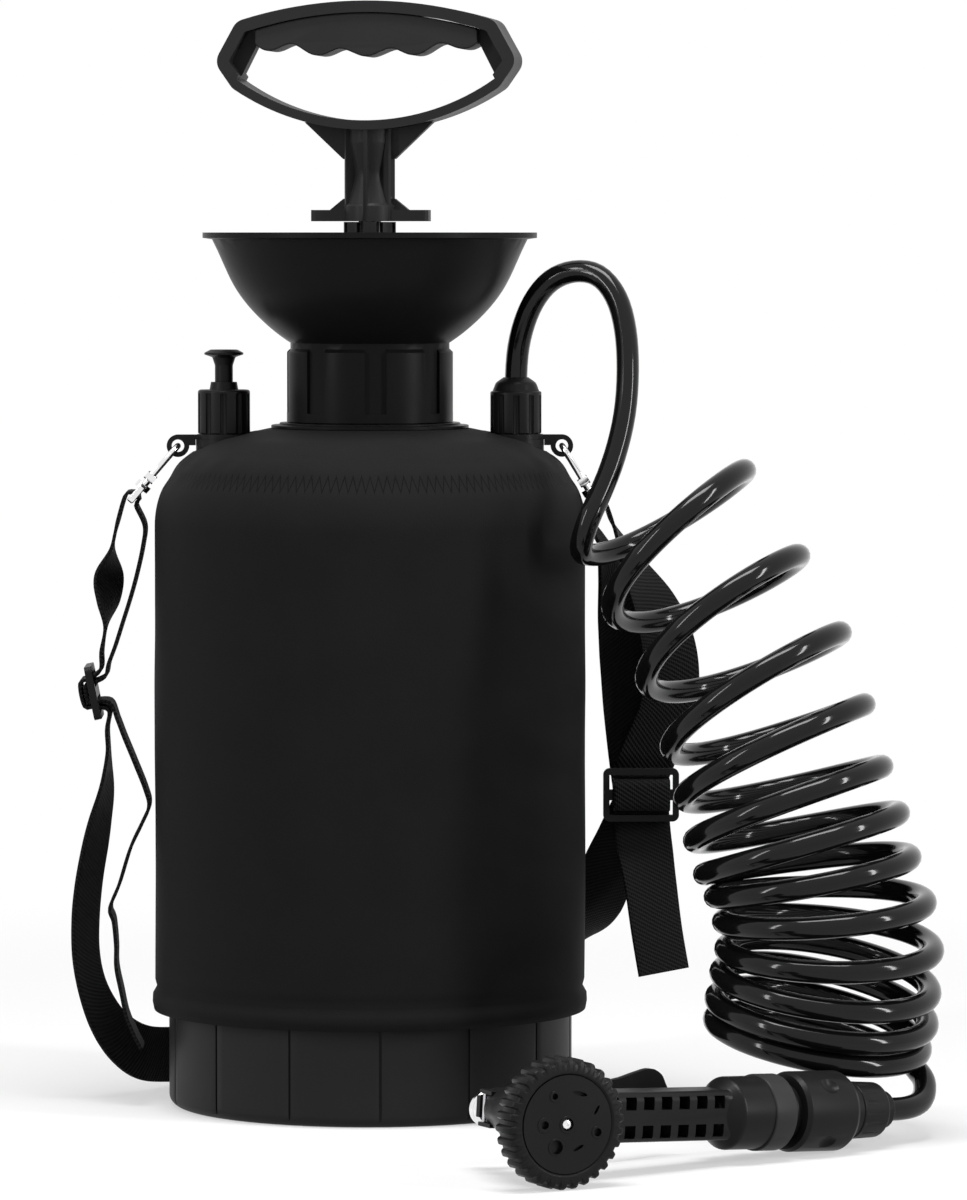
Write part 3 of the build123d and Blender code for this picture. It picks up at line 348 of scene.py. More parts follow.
def cover_profile():
    """(radius, height) points of the cover's outside, from the hem up to the neck."""
    slope = math.atan2(cover_top - cover_slope_foot, cover_radius - cover_slope_inner)
    turn = math.pi / 2 - slope
    tangent = shoulder_round * math.tan(turn / 2)
    bend_low = cover_slope_foot - tangent
    points = []
    rows = 64
    for i in range(rows + 1):
        points.append((cover_radius, cover_bottom + (bend_low - cover_bottom) * i / rows))
    bends = 28
    for i in range(1, bends + 1):
        a = turn * i / bends
        points.append((
            cover_radius - shoulder_round * (1 - math.cos(a)), bend_low + shoulder_round * math.sin(a)
        ))
    end_radius, end_height = points[-1]
    slopes = 30
    for i in range(1, slopes + 1):
        r = end_radius + (neck_hole - end_radius) * i / slopes
        points.append((r, min(end_height + (end_radius - r) * math.tan(slope), cover_top)))
    return points


def hem_and_seam(height, angle):
    """How far the cloth stands out or in at a place: hem roll, stitch line, seam and soft waves."""
    out = 0.0
    up = (height - cover_bottom) / hem_height
    if up < 1:
        out += hem_swell * math.sqrt(max(0.0, 1 - (2 * up - 0.9) ** 2)) * 0.9
    out -= hem_groove * math.exp(-(((up - 1.08) / 0.12) ** 2))
    across = (height - seam_height) / seam_reach
    pull = 0.5 + 0.5 * math.cos(angle * stitches_round / stitches_per_pull)
    out -= seam_depth * math.exp(-(across ** 2)) * (0.8 + 0.4 * pull)
    out += seam_ridge * math.exp(-((across - 2) ** 2)) * pull
    return out


def make_cover():
    mesh = bmesh.new()
    outline = [mesh.verts.new((radius, 0, height)) for radius, height in cover_profile()]
    edges = [mesh.edges.new(pair) for pair in zip(outline, outline[1:])]
    bmesh.ops.spin(
        mesh, geom=outline + edges, axis=(0, 0, 1), cent=(0, 0, 0), angle=2 * math.pi,
        steps=cover_columns, use_merge=True,
    )
    bmesh.ops.remove_doubles(mesh, verts=mesh.verts, dist=1e-6)
    for side in (-1, 1):
        boss = Vector((side * boss_spacing, 0, 0))
        inside = [v for v in mesh.verts if (Vector((v.co.x, v.co.y, 0)) - boss).length < boss_hole
                  and v.co.z > cover_slope_foot - 10 * mm]
        bmesh.ops.delete(mesh, geom=inside, context="VERTS")
        for vertex in mesh.verts:
            flat = Vector((vertex.co.x, vertex.co.y, 0)) - boss
            if vertex.is_boundary and flat.length < boss_hole * 1.35:
                edge = boss + flat.normalized() * boss_hole
                vertex.co.x, vertex.co.y = edge.x, edge.y
    bmesh.ops.recalc_face_normals(mesh, faces=mesh.faces)
    mesh.normal_update()
    for vertex in mesh.verts:
        angle = math.atan2(vertex.co.y, vertex.co.x)
        wave = sum(noise.noise(vertex.co * scale) * height for scale, height in (broad_waves, fine_waves))
        quiet = 0.0 if vertex.co.z > seam_height + 10 * mm else 1.0
        vertex.co += vertex.normal * (hem_and_seam(vertex.co.z, angle) + wave * quiet)
    data = bpy.data.meshes.new("neoprene_cover")
    mesh.to_mesh(data)
    mesh.free()
    data.shade_smooth()
    cover = bpy.data.objects.new("neoprene_cover", data)
    bpy.context.collection.objects.link(cover)
    wall = cover.modifiers.new("wall", "SOLIDIFY")
    wall.thickness = cover_thickness
    wall.offset = -1
    return cover


def zigzag(tree, place):
    """1 on the zigzag stitches of the shoulder seam and 0 off them."""
    split = tree.nodes.new("ShaderNodeSeparateXYZ")
    tree.links.new(place, split.inputs[0])
    turn = math_node(tree, "ARCTAN2", split.outputs["Y"], split.outputs["X"])
    along = math_node(tree, "MULTIPLY", turn, stitches_round / math.pi)
    wave = math_node(tree, "PINGPONG", math_node(tree, "ADD", along, 1000.0), 1.0)
    level = math_node(tree, "MULTIPLY_ADD", wave, 2 * seam_reach, seam_height - seam_reach)
    off = math_node(tree, "ABSOLUTE", math_node(tree, "SUBTRACT", split.outputs["Z"], level))
    return math_node(tree, "LESS_THAN", off, stitch_width)


def neoprene():
    """Black knit laminated on foam: fine loops, a soft sheen and a little lint."""
    material = bpy.data.materials.new("neoprene_knit")
    material.use_nodes = True
    tree = material.node_tree
    surface = tree.nodes["Principled BSDF"]
    surface.inputs["Sheen Weight"].default_value = 0.01
    surface.inputs["Sheen Roughness"].default_value = 0.5
    surface.inputs["Specular IOR Level"].default_value = 0.04
    where = tree.nodes.new("ShaderNodeTexCoord")
    loops = tree.nodes.new("ShaderNodeTexVoronoi")
    loops.inputs["Scale"].default_value = 1500
    lint = tree.nodes.new("ShaderNodeTexNoise")
    lint.inputs["Scale"].default_value = 38
    lint.inputs["Detail"].default_value = 8
    tone = tree.nodes.new("ShaderNodeValToRGB")
    tone.color_ramp.elements[0].position = 0.35
    tone.color_ramp.elements[0].color = (0.0115, 0.0115, 0.0118, 1)
    tone.color_ramp.elements[1].position = 0.7
    tone.color_ramp.elements[1].color = (0.0135, 0.0135, 0.0138, 1)
    rough = tree.nodes.new("ShaderNodeMapRange")
    rough.inputs["To Min"].default_value = 0.62
    rough.inputs["To Max"].default_value = 0.8
    bump = tree.nodes.new("ShaderNodeBump")
    bump.inputs["Strength"].default_value = 0.25
    bump.inputs["Distance"].default_value = 0.15 * mm
    tree.links.new(where.outputs["Object"], loops.inputs["Vector"])
    tree.links.new(where.outputs["Object"], lint.inputs["Vector"])
    thread = zigzag(tree, where.outputs["Object"])
    stitched = tree.nodes.new("ShaderNodeMix")
    stitched.data_type = "RGBA"
    stitched.inputs["B"].default_value = (0.005, 0.005, 0.005, 1)
    raised = math_node(tree, "MULTIPLY_ADD", thread, -stitch_sink, loops.outputs["Distance"])
    tree.links.new(lint.outputs["Fac"], tone.inputs["Fac"])
    tree.links.new(thread, stitched.inputs["Factor"])
    tree.links.new(tone.outputs["Color"], stitched.inputs["A"])
    tree.links.new(stitched.outputs["Result"], surface.inputs["Base Color"])
    tree.links.new(lint.outputs["Fac"], rough.inputs["Value"])
    tree.links.new(rough.outputs["Result"], surface.inputs["Roughness"])
    tree.links.new(raised, bump.inputs["Height"])
    tree.links.new(bump.outputs["Normal"], surface.inputs["Normal"])
    return material


cover = make_cover()
cover.data.materials.append(neoprene())
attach(cover, "tank")
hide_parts("insulating_cover")

# Shoulder strap: one length of black twill webbing, 25 mm wide, looped through both hook eyes.
# Each end runs back through a slide adjuster and hangs loose, and the carrying part lies behind.
strap_width = 25 * mm
strap_thickness = 1.5 * mm
strap_columns = 10
strap_step = 1.6 * mm
selvedge_round = 0.4 * mm
warp_share = 0.45
lug_ear_offset = 85.5
lug_ear_height = 294.2
eye_bar = 31.0
hook_direction = {-1: Vector((-0.655, 0, -0.756)), 1: Vector((0.52, 0, -0.854))}
deep = (0, 1, 0)
upright = (0, 0, 1)
wide = (1, 0, 0)
left_tail = [
    ((-102.0, -3, 25.7), deep), ((-104.7, -3, 31.0), deep), ((-108.7, -3, 40.5), deep),
    ((-111.0, -3, 51.0), deep), ((-113.2, -3, 62.0), deep), ((-113.4, -2, 72.0), deep),
    ((-114.4, -2, 82.7), deep), ((-116.0, -2, 88.5), deep), ((-112.0, -1, 98.8), deep),
    ((-107.0, 0, 114.8), deep), ((-102.0, 0, 125.5), deep), ((-98.6, 0, 133.9), deep),
    ((-100.2, 0, 141.5), deep), ((-105.1, 0, 154.0), deep), ((-109.6, 0, 165.0), deep),
    ((-112.6, 0, 173.0), deep),
]
left_inner_strand = [
    ((-116.4, 0, 197.5), deep), ((-113.6, 0, 205.0), deep), ((-110.4, 0, 215.0), deep),
    ((-106.6, 0, 227.0), deep), ((-103.6, 0, 238.0), deep), ((-101.0, 0, 250.0), deep),
    ((-100.2, 0, 259.0), deep),
]
left_outer_strand = [
    ((-111.9, 0, 262.0), deep), ((-114.9, 0, 249.0), deep), ((-116.4, 0, 236.4), (0.45, 0.9, 0)),
    ((-116.6, 0, 225.3), (0.35, 0.95, 0)), ((-117.8, 0, 214.0), deep), ((-119.6, 0, 203.0), deep),
]
back_strand = [
    ((-117.2, 0, 168.5), deep), ((-117.0, 1, 159.0), deep), ((-117.6, 2, 148.0), (0.1, 1, 0)),
    ((-119.0, 4, 136.2), (0.25, 0.95, 0)), ((-121.2, 5, 125.5), (0.35, 0.93, 0)),
    ((-123.2, 6, 114.8), (0.4, 0.9, 0)), ((-126.0, 7, 98.8), (0.42, 0.9, 0)),
    ((-127.6, 9, 82.7), (0.42, 0.9, 0)), ((-127.6, 11, 66.0), (0.4, 0.9, 0.1)),
    ((-125.0, 14, 50.6), (0.35, 0.85, 0.3)), ((-120.0, 19, 37.0), (0.3, 0.7, 0.5)),
    ((-113.0, 27, 26.0), (0.2, 0.5, 0.7)), ((-103.5, 40, 18.0), (0.1, 0.25, 0.9)),
    ((-91.0, 60, 14.5), (0, 0.1, 1)), ((-70.0, 84, 13.0), upright), ((-40.0, 101, 13.0), upright),
    ((-5.0, 109, 15.0), upright), ((28.0, 106, 22.0), (0.1, 0, 1)), ((56.0, 94, 34.0), (0.3, 0, 1)),
    ((78.0, 76, 48.0), (0.5, 0, 0.9)), ((92.0, 56, 64.0), (0.7, -0.1, 0.7)),
    ((101.0, 40, 82.0), (0.85, -0.1, 0.4)), ((108.0, 29, 103.0), (0.95, -0.1, 0.2)),
    ((115.0, 21.5, 118.0), wide),
]
right_inner_strand = [
    ((119.4, 19, 156.0), wide), ((117.2, 18.5, 176.0), wide), ((115.6, 17, 196.0), (1, 0.1, 0)),
    ((113.6, 14, 214.0), (0.9, 0.4, 0)), ((109.0, 10, 233.0), (0.6, 0.8, 0)),
    ((102.8, 5, 250.0), (0.2, 1, 0)), ((99.0, 1, 258.3), deep),
]
right_outer_strand = [
    ((107.9, -0.5, 260.0), deep), ((112.4, 0, 250.0), (0.2, 1, 0)), ((118.0, 2, 238.0), (0.5, 0.85, 0)),
    ((127.0, 5, 222.0), (0.8, 0.6, 0)), ((133.0, 7.5, 206.0), (0.95, 0.3, 0)),
    ((135.0, 9.5, 190.0), (1, 0.1, 0)), ((133.0, 11.5, 174.0), wide), ((125.6, 15.2, 156.0), wide),
]
right_tail = [
    ((122.9, 15.2, 116.0), wide), ((124.4, 12.8, 106.0), (0.95, 0.25, 0)),
    ((126.0, 11, 95.0), (0.9, 0.35, 0)), ((128.5, 8.5, 76.0), (0.9, 0.4, 0)),
    ((131.6, 7, 57.5), (0.9, 0.4, 0)),
]


def frame_at(origin, along, out):
    """The matrix of a flat fitting: X along its bars, Z out of its face."""
    x = Vector(along).normalized()
    z = Vector(out).normalized()
    y = z.cross(x)
    return Matrix.Translation(origin) @ Matrix((x, y, z)).transposed().to_4x4()


left_slider_place = frame_at((-123.2, 0, 184.7), (0, -1, 0), (-0.98, 0, -0.199))
right_slider_place = frame_at((121.5, 12.0, 137.0), (1, 0, 0), (0, -1, 0))


def slider_pass(place, layer, shift=0.0):
    """Stations from top to bottom, out over an adjuster's middle bar and back."""
    if layer == 1:
        half = [(5.8, -6.5), (4.1, 0.6), (3.5, 2.9)]
    else:
        half = [(9.2, -5.2), (6.3, 0.4), (5.2, 4.9)]
    whole = half + [(-up, out) for up, out in reversed(half)]
    return [(place @ Vector((shift, up, out)), place.col[0].xyz) for up, out in whole]


def bar_loop(side):
    """Stations over a hook eye's bar, from the tank side to the outer side."""
    along = hook_direction[side].normalized()
    out = along.cross(Vector((0, 1, 0)))
    centre = Vector((side * lug_ear_offset, 0, lug_ear_height)) + along * eye_bar
    half = [(1.0, 3.2), (-1.6, 2.6), (-3.0, 0.9)]
    whole = [(x, -side * z) for x, z in half] + [(x, side * z) for x, z in reversed(half)]
    return [(centre + along * x + out * z, deep) for x, z in whole]


strap_stations = (
    left_tail + list(reversed(slider_pass(left_slider_place, 1))) + left_inner_strand
    + bar_loop(-1) + left_outer_strand + slider_pass(left_slider_place, 2) + back_strand
    + list(reversed(slider_pass(right_slider_place, 1, -0.4))) + right_inner_strand
    + bar_loop(1) + right_outer_strand + slider_pass(right_slider_place, 2, 0.4) + right_tail
)


def make_strap():
    points = [Vector(point) * mm for point, across in strap_stations]
    sides = []
    for point, across in strap_stations:
        across = Vector(across).normalized()
        sides.append(-across if sides and across.dot(sides[-1]) < 0 else across)
    lines = []
    for i in range(len(points) - 1):
        steps = max(1, round((points[i + 1] - points[i]).length / strap_step))
        lines += [(smooth(points, i, k / steps), smooth(sides, i, k / steps)) for k in range(steps)]
    lines.append((points[-1], sides[-1]))
    mesh = bmesh.new()
    weave = mesh.loops.layers.uv.new("weave")
    places = {}
    row = []
    travelled = 0.0
    for n, (point, side) in enumerate(lines):
        along = (lines[min(n + 1, len(lines) - 1)][0] - lines[max(n - 1, 0)][0]).normalized()
        side = (side - along * side.dot(along)).normalized()
        travelled += (point - lines[n - 1][0]).length if n else 0.0
        if n:
            edges = [e for e in {e for v in row for e in v.link_edges} if set(e.verts) <= set(row)]
            grown = bmesh.ops.extrude_edge_only(mesh, edges=edges)["geom"]
            fresh = {v for v in grown if isinstance(v, bmesh.types.BMVert)}
            row = [next(e.other_vert(v) for e in v.link_edges if e.other_vert(v) in fresh) for v in row]
        else:
            row = [mesh.verts.new((0, 0, 0)) for k in range(strap_columns + 1)]
            for pair in zip(row, row[1:]):
                mesh.edges.new(pair)
        for k, vertex in enumerate(row):
            share = k / strap_columns - 0.5
            vertex.co = point + side * share * strap_width
            places[vertex] = (share * strap_width, travelled)
    for face in mesh.faces:
        for loop in face.loops:
            loop[weave].uv = places[loop.vert]
    bmesh.ops.recalc_face_normals(mesh, faces=mesh.faces)
    data = bpy.data.meshes.new("webbing_strap")
    mesh.to_mesh(data)
    mesh.free()
    data.shade_smooth()
    strap = bpy.data.objects.new("webbing_strap", data)
    bpy.context.collection.objects.link(strap)
    body = strap.modifiers.new("thickness", "SOLIDIFY")
    body.thickness = strap_thickness
    body.offset = 0
    edge = strap.modifiers.new("selvedge", "BEVEL")
    edge.width = selvedge_round
    edge.segments = 2
    edge.limit_method = "ANGLE"
    edge.angle_limit = math.radians(60)
    return strap


def webbing():
    """Polyester twill: slanting ribs on warp threads and a little fuzz."""
    material = bpy.data.materials.new("webbing_twill")
    material.use_nodes = True
    tree = material.node_tree
    surface = tree.nodes["Principled BSDF"]
    surface.inputs["Roughness"].default_value = 0.68
    surface.inputs["Sheen Weight"].default_value = 0.01
    surface.inputs["Specular IOR Level"].default_value = 0.06
    where = tree.nodes.new("ShaderNodeUVMap")
    where.uv_map = "weave"
    slant = tree.nodes.new("ShaderNodeMapping")
    slant.inputs["Rotation"].default_value = (0, 0, math.radians(58))
    twill = tree.nodes.new("ShaderNodeTexWave")
    twill.inputs["Scale"].default_value = 190
    twill.inputs["Distortion"].default_value = 0.6
    twill.inputs["Detail"].default_value = 2
    warp = tree.nodes.new("ShaderNodeTexWave")
    warp.inputs["Scale"].default_value = 330
    warp.inputs["Distortion"].default_value = 0.3
    threads = math_node(tree, "MULTIPLY_ADD", warp.outputs["Fac"], warp_share, twill.outputs["Fac"])
    tone = tree.nodes.new("ShaderNodeValToRGB")
    tone.color_ramp.elements[0].color = (0.0035, 0.0035, 0.0038, 1)
    tone.color_ramp.elements[1].color = (0.014, 0.014, 0.0145, 1)
    bump = tree.nodes.new("ShaderNodeBump")
    bump.inputs["Strength"].default_value = 0.7
    bump.inputs["Distance"].default_value = 0.3 * mm
    tree.links.new(where.outputs["UV"], slant.inputs["Vector"])
    tree.links.new(slant.outputs["Vector"], twill.inputs["Vector"])
    tree.links.new(where.outputs["UV"], warp.inputs["Vector"])
    tree.links.new(threads, tone.inputs["Fac"])
    tree.links.new(tone.outputs["Color"], surface.inputs["Base Color"])
    tree.links.new(threads, bump.inputs["Height"])
    tree.links.new(bump.outputs["Normal"], surface.inputs["Normal"])
    return material


strap = make_strap()
strap.data.materials.append(webbing())
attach(strap, "tank")
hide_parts("shoulder_strap")

# Foot cup: the grooved cup of dark grey plastic that the tank stands in.
# Hard pieces are copies of their CAD nodes with rounded edges and a fine moulded grain.
smooth_angle = math.radians(32)


def solid_piece(name, mesh, edge_radius, segments=2):
    """An object from a closed mesh, with smooth flanks and rounded edges."""
    data = bpy.data.meshes.new(name)
    mesh.to_mesh(data)
    mesh.free()
    data.shade_smooth()
    data.set_sharp_from_angle(angle=smooth_angle)
    piece = bpy.data.objects.new(name, data)
    bpy.context.collection.objects.link(piece)
    if edge_radius:
        edge = piece.modifiers.new("edges", "BEVEL")
        edge.width = edge_radius
        edge.segments = segments
        edge.limit_method = "ANGLE"
        edge.angle_limit = smooth_angle
        edge.harden_normals = True
    return piece


def moulding(name, colour, dull, glossy, grain=900, depth=0.05, shine=0.11):
    """A plastic with a moulded grain: dull and glossy are its roughness limits."""
    material = bpy.data.materials.new(name)
    material.use_nodes = True
    tree = material.node_tree
    surface = tree.nodes["Principled BSDF"]
    surface.inputs["IOR"].default_value = 1.5
    surface.inputs["Specular IOR Level"].default_value = shine
    where = tree.nodes.new("ShaderNodeTexCoord")
    fine = tree.nodes.new("ShaderNodeTexNoise")
    fine.inputs["Scale"].default_value = grain
    fine.inputs["Detail"].default_value = 3
    broad = tree.nodes.new("ShaderNodeTexNoise")
    broad.inputs["Scale"].default_value = 25
    broad.inputs["Detail"].default_value = 6
    tone = tree.nodes.new("ShaderNodeMix")
    tone.data_type = "RGBA"
    tone.inputs["A"].default_value = (*[c * 0.82 for c in colour], 1)
    tone.inputs["B"].default_value = (*[c * 1.18 for c in colour], 1)
    rough = tree.nodes.new("ShaderNodeMapRange")
    rough.inputs["From Min"].default_value = 0.3
    rough.inputs["From Max"].default_value = 0.7
    rough.inputs["To Min"].default_value = glossy
    rough.inputs["To Max"].default_value = dull
    bump = tree.nodes.new("ShaderNodeBump")
    bump.inputs["Strength"].default_value = 0.35
    bump.inputs["Distance"].default_value = depth * mm
    tree.links.new(where.outputs["Object"], fine.inputs["Vector"])
    tree.links.new(where.outputs["Object"], broad.inputs["Vector"])
    tree.links.new(broad.outputs["Fac"], tone.inputs["Factor"])
    tree.links.new(tone.outputs["Result"], surface.inputs["Base Color"])
    tree.links.new(broad.outputs["Fac"], rough.inputs["Value"])
    tree.links.new(rough.outputs["Result"], surface.inputs["Roughness"])
    tree.links.new(fine.outputs["Fac"], bump.inputs["Height"])
    tree.links.new(bump.outputs["Normal"], surface.inputs["Normal"])
    return material


def dress(names, material, edge_radius=0.0, segments=2):
    """Copies of CAD nodes with rounded edges and a finish, standing for those nodes."""
    for name in names:
        mesh = bmesh.new()
        mesh.from_mesh(nodes[name].data)
        bmesh.ops.remove_doubles(mesh, verts=mesh.verts, dist=2e-6)
        bmesh.ops.dissolve_limit(
            mesh, angle_limit=math.radians(0.6), verts=mesh.verts, edges=mesh.edges
        )
        piece = solid_piece(name + "_look", mesh, edge_radius, segments)
        piece.data.materials.clear()
        piece.data.materials.append(material)
        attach(piece, nodes[name]["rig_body"])
        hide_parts(name)


cup_plastic = moulding("cup_plastic", (0.018, 0.018, 0.019), 0.55, 0.42, 700, 0.06)
dress(["foot_cup"], cup_plastic, 0.4 * mm)

# Funnel and neck ring: half-gloss black mouldings, the bowl with a thin rolled rim.
# The funnel's lobed collar screws down on the ring, which clamps the cover at the neck.
funnel_plastic = moulding("funnel_plastic", (0.01, 0.01, 0.0105), 0.42, 0.3, 500, 0.03, shine=0.045)
dress(["funnel", "neck_ring"], funnel_plastic, 0.4 * mm)

# Pump handle and tower: the flanged D-handle and the notched tower of the pump cap.
# Both are dark grey plastic with a satin grain and soft moulded edges.
handle_plastic = moulding("handle_plastic", (0.022, 0.022, 0.023), 0.5, 0.36, 800, 0.05)
dress(["pump_handle", "pump_cap"], handle_plastic, 0.7 * mm, 3)

# Finger bar: the waved grip across the handle's top, a duller and coarser plastic.
# Its edges are rounder than the handle's, as the fingers bear on them.
grip_plastic = moulding("grip_plastic", (0.028, 0.028, 0.029), 0.6, 0.48, 1100, 0.06)
dress(["handle_grip"], grip_plastic, 1.6 * mm, 4)

# Relief valve and outlet nut: two ribbed nuts on the shoulder bosses, and the valve's pull stem.
# They are black and semi-matt with crisp knurls.
nut_plastic = moulding("nut_plastic", (0.01, 0.01, 0.0105), 0.46, 0.34, 900, 0.04)
dress(["relief_valve_nut", "relief_valve_stem", "outlet_nut"], nut_plastic, 0.25 * mm)

# Strap lugs: a black ear on each boss that a snap hook clips into.
# They are of the nuts' plastic, with slightly rounder edges.
dress(["left_lug", "right_lug"], nut_plastic, 0.4 * mm)

# Strap adjusters: three-bar slides that hold the doubled webbing at a chosen length.
# Their bars are well rounded, so that the webbing runs over them.
dress(["left_slider", "right_slider"], nut_plastic, 0.7 * mm, 3)

# Snap hooks: die-cast hooks, gates and swivel eyes with bright chrome plate.
# The plate has faint polishing lines and a slight waviness that breaks its reflections.


def bright_metal(name, colour, dull, glossy, lines):
    material = bpy.data.materials.new(name)
    material.use_nodes = True
    tree = material.node_tree
    surface = tree.nodes["Principled BSDF"]
    surface.inputs["Metallic"].default_value = 1.0
    surface.inputs["Base Color"].default_value = (*colour, 1)
    where = tree.nodes.new("ShaderNodeTexCoord")
    polish = tree.nodes.new("ShaderNodeTexNoise")
    polish.inputs["Scale"].default_value = lines
    polish.inputs["Detail"].default_value = 6
    rough = tree.nodes.new("ShaderNodeMapRange")
    rough.inputs["To Min"].default_value = glossy
    rough.inputs["To Max"].default_value = dull
    bump = tree.nodes.new("ShaderNodeBump")
    bump.inputs["Strength"].default_value = 0.15
    bump.inputs["Distance"].default_value = 0.1 * mm
    tree.links.new(where.outputs["Object"], polish.inputs["Vector"])
    tree.links.new(polish.outputs["Fac"], rough.inputs["Value"])
    tree.links.new(rough.outputs["Result"], surface.inputs["Roughness"])
    tree.links.new(polish.outputs["Fac"], bump.inputs["Height"])
    tree.links.new(bump.outputs["Normal"], surface.inputs["Normal"])
    return material


hook_chrome = bright_metal("hook_chrome", (0.82, 0.82, 0.83), 0.22, 0.08, 240)
for side in ("left", "right"):
    dress([side + "_hook", side + "_hook_gate", side + "_hook_eye"], hook_chrome)

# Relief valve spring: drawn steel wire whose top end sits in the nut; on the real valve it closes up as the
# stem is pulled.
# Here it is one fixed shape, with a mesh of its own.
spring_steel = bright_metal("spring_steel", (0.5, 0.5, 0.52), 0.4, 0.25, 600)
dress(["relief_valve_spring"], spring_steel)
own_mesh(bpy.data.objects["relief_valve_spring_look"])

# Spray gun body: barrel, windowed handle and inlet cone in one dark moulding.
# The barrel narrows behind the dial, and two cheeks at its back guide the lever.
gun_frame = (
    Matrix.Translation(Vector((68.9, -258.9, 27.0)) * mm)
    @ Matrix.Rotation(math.radians(26.5), 4, "Z") @ Matrix.Rotation(math.radians(3.6), 4, "Y")
)
handle_way = Vector((math.cos(math.radians(10.4)), math.sin(math.radians(10.4)), 0))
handle_root = 15.3 * mm
root_overlap = 7.5 * mm
barrel_outline = [
    (0, -21.5), (4, -21.5), (4, -11), (12.5, -11), (15.1, -8.5), (15.1, 5), (14.2, 11), (11.8, 19),
    (9.6, 27), (8.8, 32), (7.6, 33.5), (4.6, 33.5), (4.6, 15), (0, 15),
]
cheek_size = (3.8, 10.4, 1.6)
cheek_place = (-6.5, 32.0, 6.8)


def lathe(mesh, outline, steps=64, centre=(0, 0)):
    """Adds a shape turned about the barrel's direction: (radius, distance back) points in mm."""
    x, z = centre[0] * mm, centre[1] * mm
    row = [mesh.verts.new((x + radius * mm, back * mm, z)) for radius, back in outline]
    edges = [mesh.edges.new(pair) for pair in zip(row, row[1:])]
    bmesh.ops.spin(
        mesh, geom=row + edges, axis=(0, 1, 0), cent=(x, 0, z), angle=2 * math.pi, steps=steps,
        use_merge=True,
    )
    bmesh.ops.remove_doubles(mesh, verts=mesh.verts, dist=2e-6)


def gun_piece(name, mesh, body, node, material, edge_radius=0.0):
    """A piece of the gun from a mesh in the gun's own frame, standing for a CAD node."""
    bmesh.ops.recalc_face_normals(mesh, faces=mesh.faces)
    mesh.transform(gun_frame)
    piece = solid_piece(name, mesh, edge_radius)
    piece.data.materials.append(material)
    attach(piece, body)
    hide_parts(node)


def make_gun_body():
    mesh = bmesh.new()
    mesh.from_mesh(nodes["gun_body"].data)
    bmesh.ops.remove_doubles(mesh, verts=mesh.verts, dist=2e-6)
    mesh.transform(gun_frame.inverted())
    cut = bmesh.ops.bisect_plane(
        mesh, geom=list(mesh.verts) + list(mesh.edges) + list(mesh.faces), dist=1e-7,
        plane_co=(handle_root, 0, 0), plane_no=(1, 0, 0), clear_inner=True,
    )
    rim = [part for part in cut["geom_cut"] if isinstance(part, bmesh.types.BMEdge)]
    grown = bmesh.ops.extrude_edge_only(mesh, edges=rim)["geom"]
    inner = [part for part in grown if isinstance(part, bmesh.types.BMVert)]
    bmesh.ops.translate(mesh, verts=inner, vec=-handle_way * root_overlap)
    bmesh.ops.dissolve_limit(
        mesh, angle_limit=math.radians(0.6), verts=mesh.verts, edges=mesh.edges
    )
    lathe(mesh, barrel_outline)
    for side in (-1, 1):
        x, y, z = cheek_place
        place = Matrix.Translation(Vector((x, y, side * z)) * mm)
        bmesh.ops.create_cube(mesh, size=mm, matrix=place @ Matrix.Diagonal((*cheek_size, 1)))
    return mesh


gun_plastic = moulding("gun_plastic", (0.011, 0.011, 0.0115), 0.4, 0.28, 900, 0.05)
gun_piece("gun_body_look", make_gun_body(), "gun", "gun_body", gun_plastic, 0.4 * mm)

# Spray dial: a wide ring with thirty grip notches and a recess for the nozzle plate.
# The notches run over its whole rim, so the outline is toothed from every side.
dial_outline = [
    (4.3, -23.1), (20.4, -23.1), (20.4, -24.5), (21.3, -25.3), (24.6, -25.3), (26.2, -24.5),
    (27, -23), (27, -18.3), (27, -13.6), (26.2, -12.1), (24.6, -11.3), (4.3, -11.3), (4.3, -23.1),
]
dial_notches = 30
notch_depth = 1.6 * mm
notch_root = 24 * mm


def make_dial():
    mesh = bmesh.new()
    lathe(mesh, dial_outline, steps=12 * dial_notches)
    for vertex in mesh.verts:
        radius = math.hypot(vertex.co.x, vertex.co.z)
        if radius > notch_root:
            turn = math.atan2(vertex.co.z, vertex.co.x)
            gap = min(max((math.cos(dial_notches * turn) + 0.35) / 0.9, 0.0), 1.0)
            shrunk = 1 - notch_depth * gap * gap * (3 - 2 * gap) / radius
            vertex.co.x *= shrunk
            vertex.co.z *= shrunk
    return mesh


gun_piece("dial_look", make_dial(), "dial", "spray_dial", gun_plastic, 0.15 * mm)

# Nozzle plate: a flat face in the dial with round and slotted spray openings.
# Some openings have a raised rim, and a bright jet sits in the middle.
plate_radius = 20.2
plate_front = -24.9
plate_back = -23.1
rim_front = -25.3
# Each round opening: across and up from the middle, radius, and the width of its raised rim
round_openings = [
    (0, 0, 2.6, 1.1), (-6.6, 11.4, 1.3, 1.1), (-10.5, -0.3, 1.7, 1.6), (-4.7, -9.3, 2.9, 0.7),
    (14.0, -3.1, 1.7, 1.0),
]
# Each slot: across and up from the middle, half length, half height and turn in degrees
slots = [(5.0, 12.6, 3.4, 0.9, -12), (5.6, -9.6, 2.6, 0.7, 28), (13.2, 6.0, 2.2, 0.6, 62)]


def loop_of(mesh, points):
    ring = [mesh.verts.new((x * mm, plate_front * mm, z * mm)) for x, z in points]
    return [mesh.edges.new((ring[i - 1], ring[i])) for i in range(len(ring))]


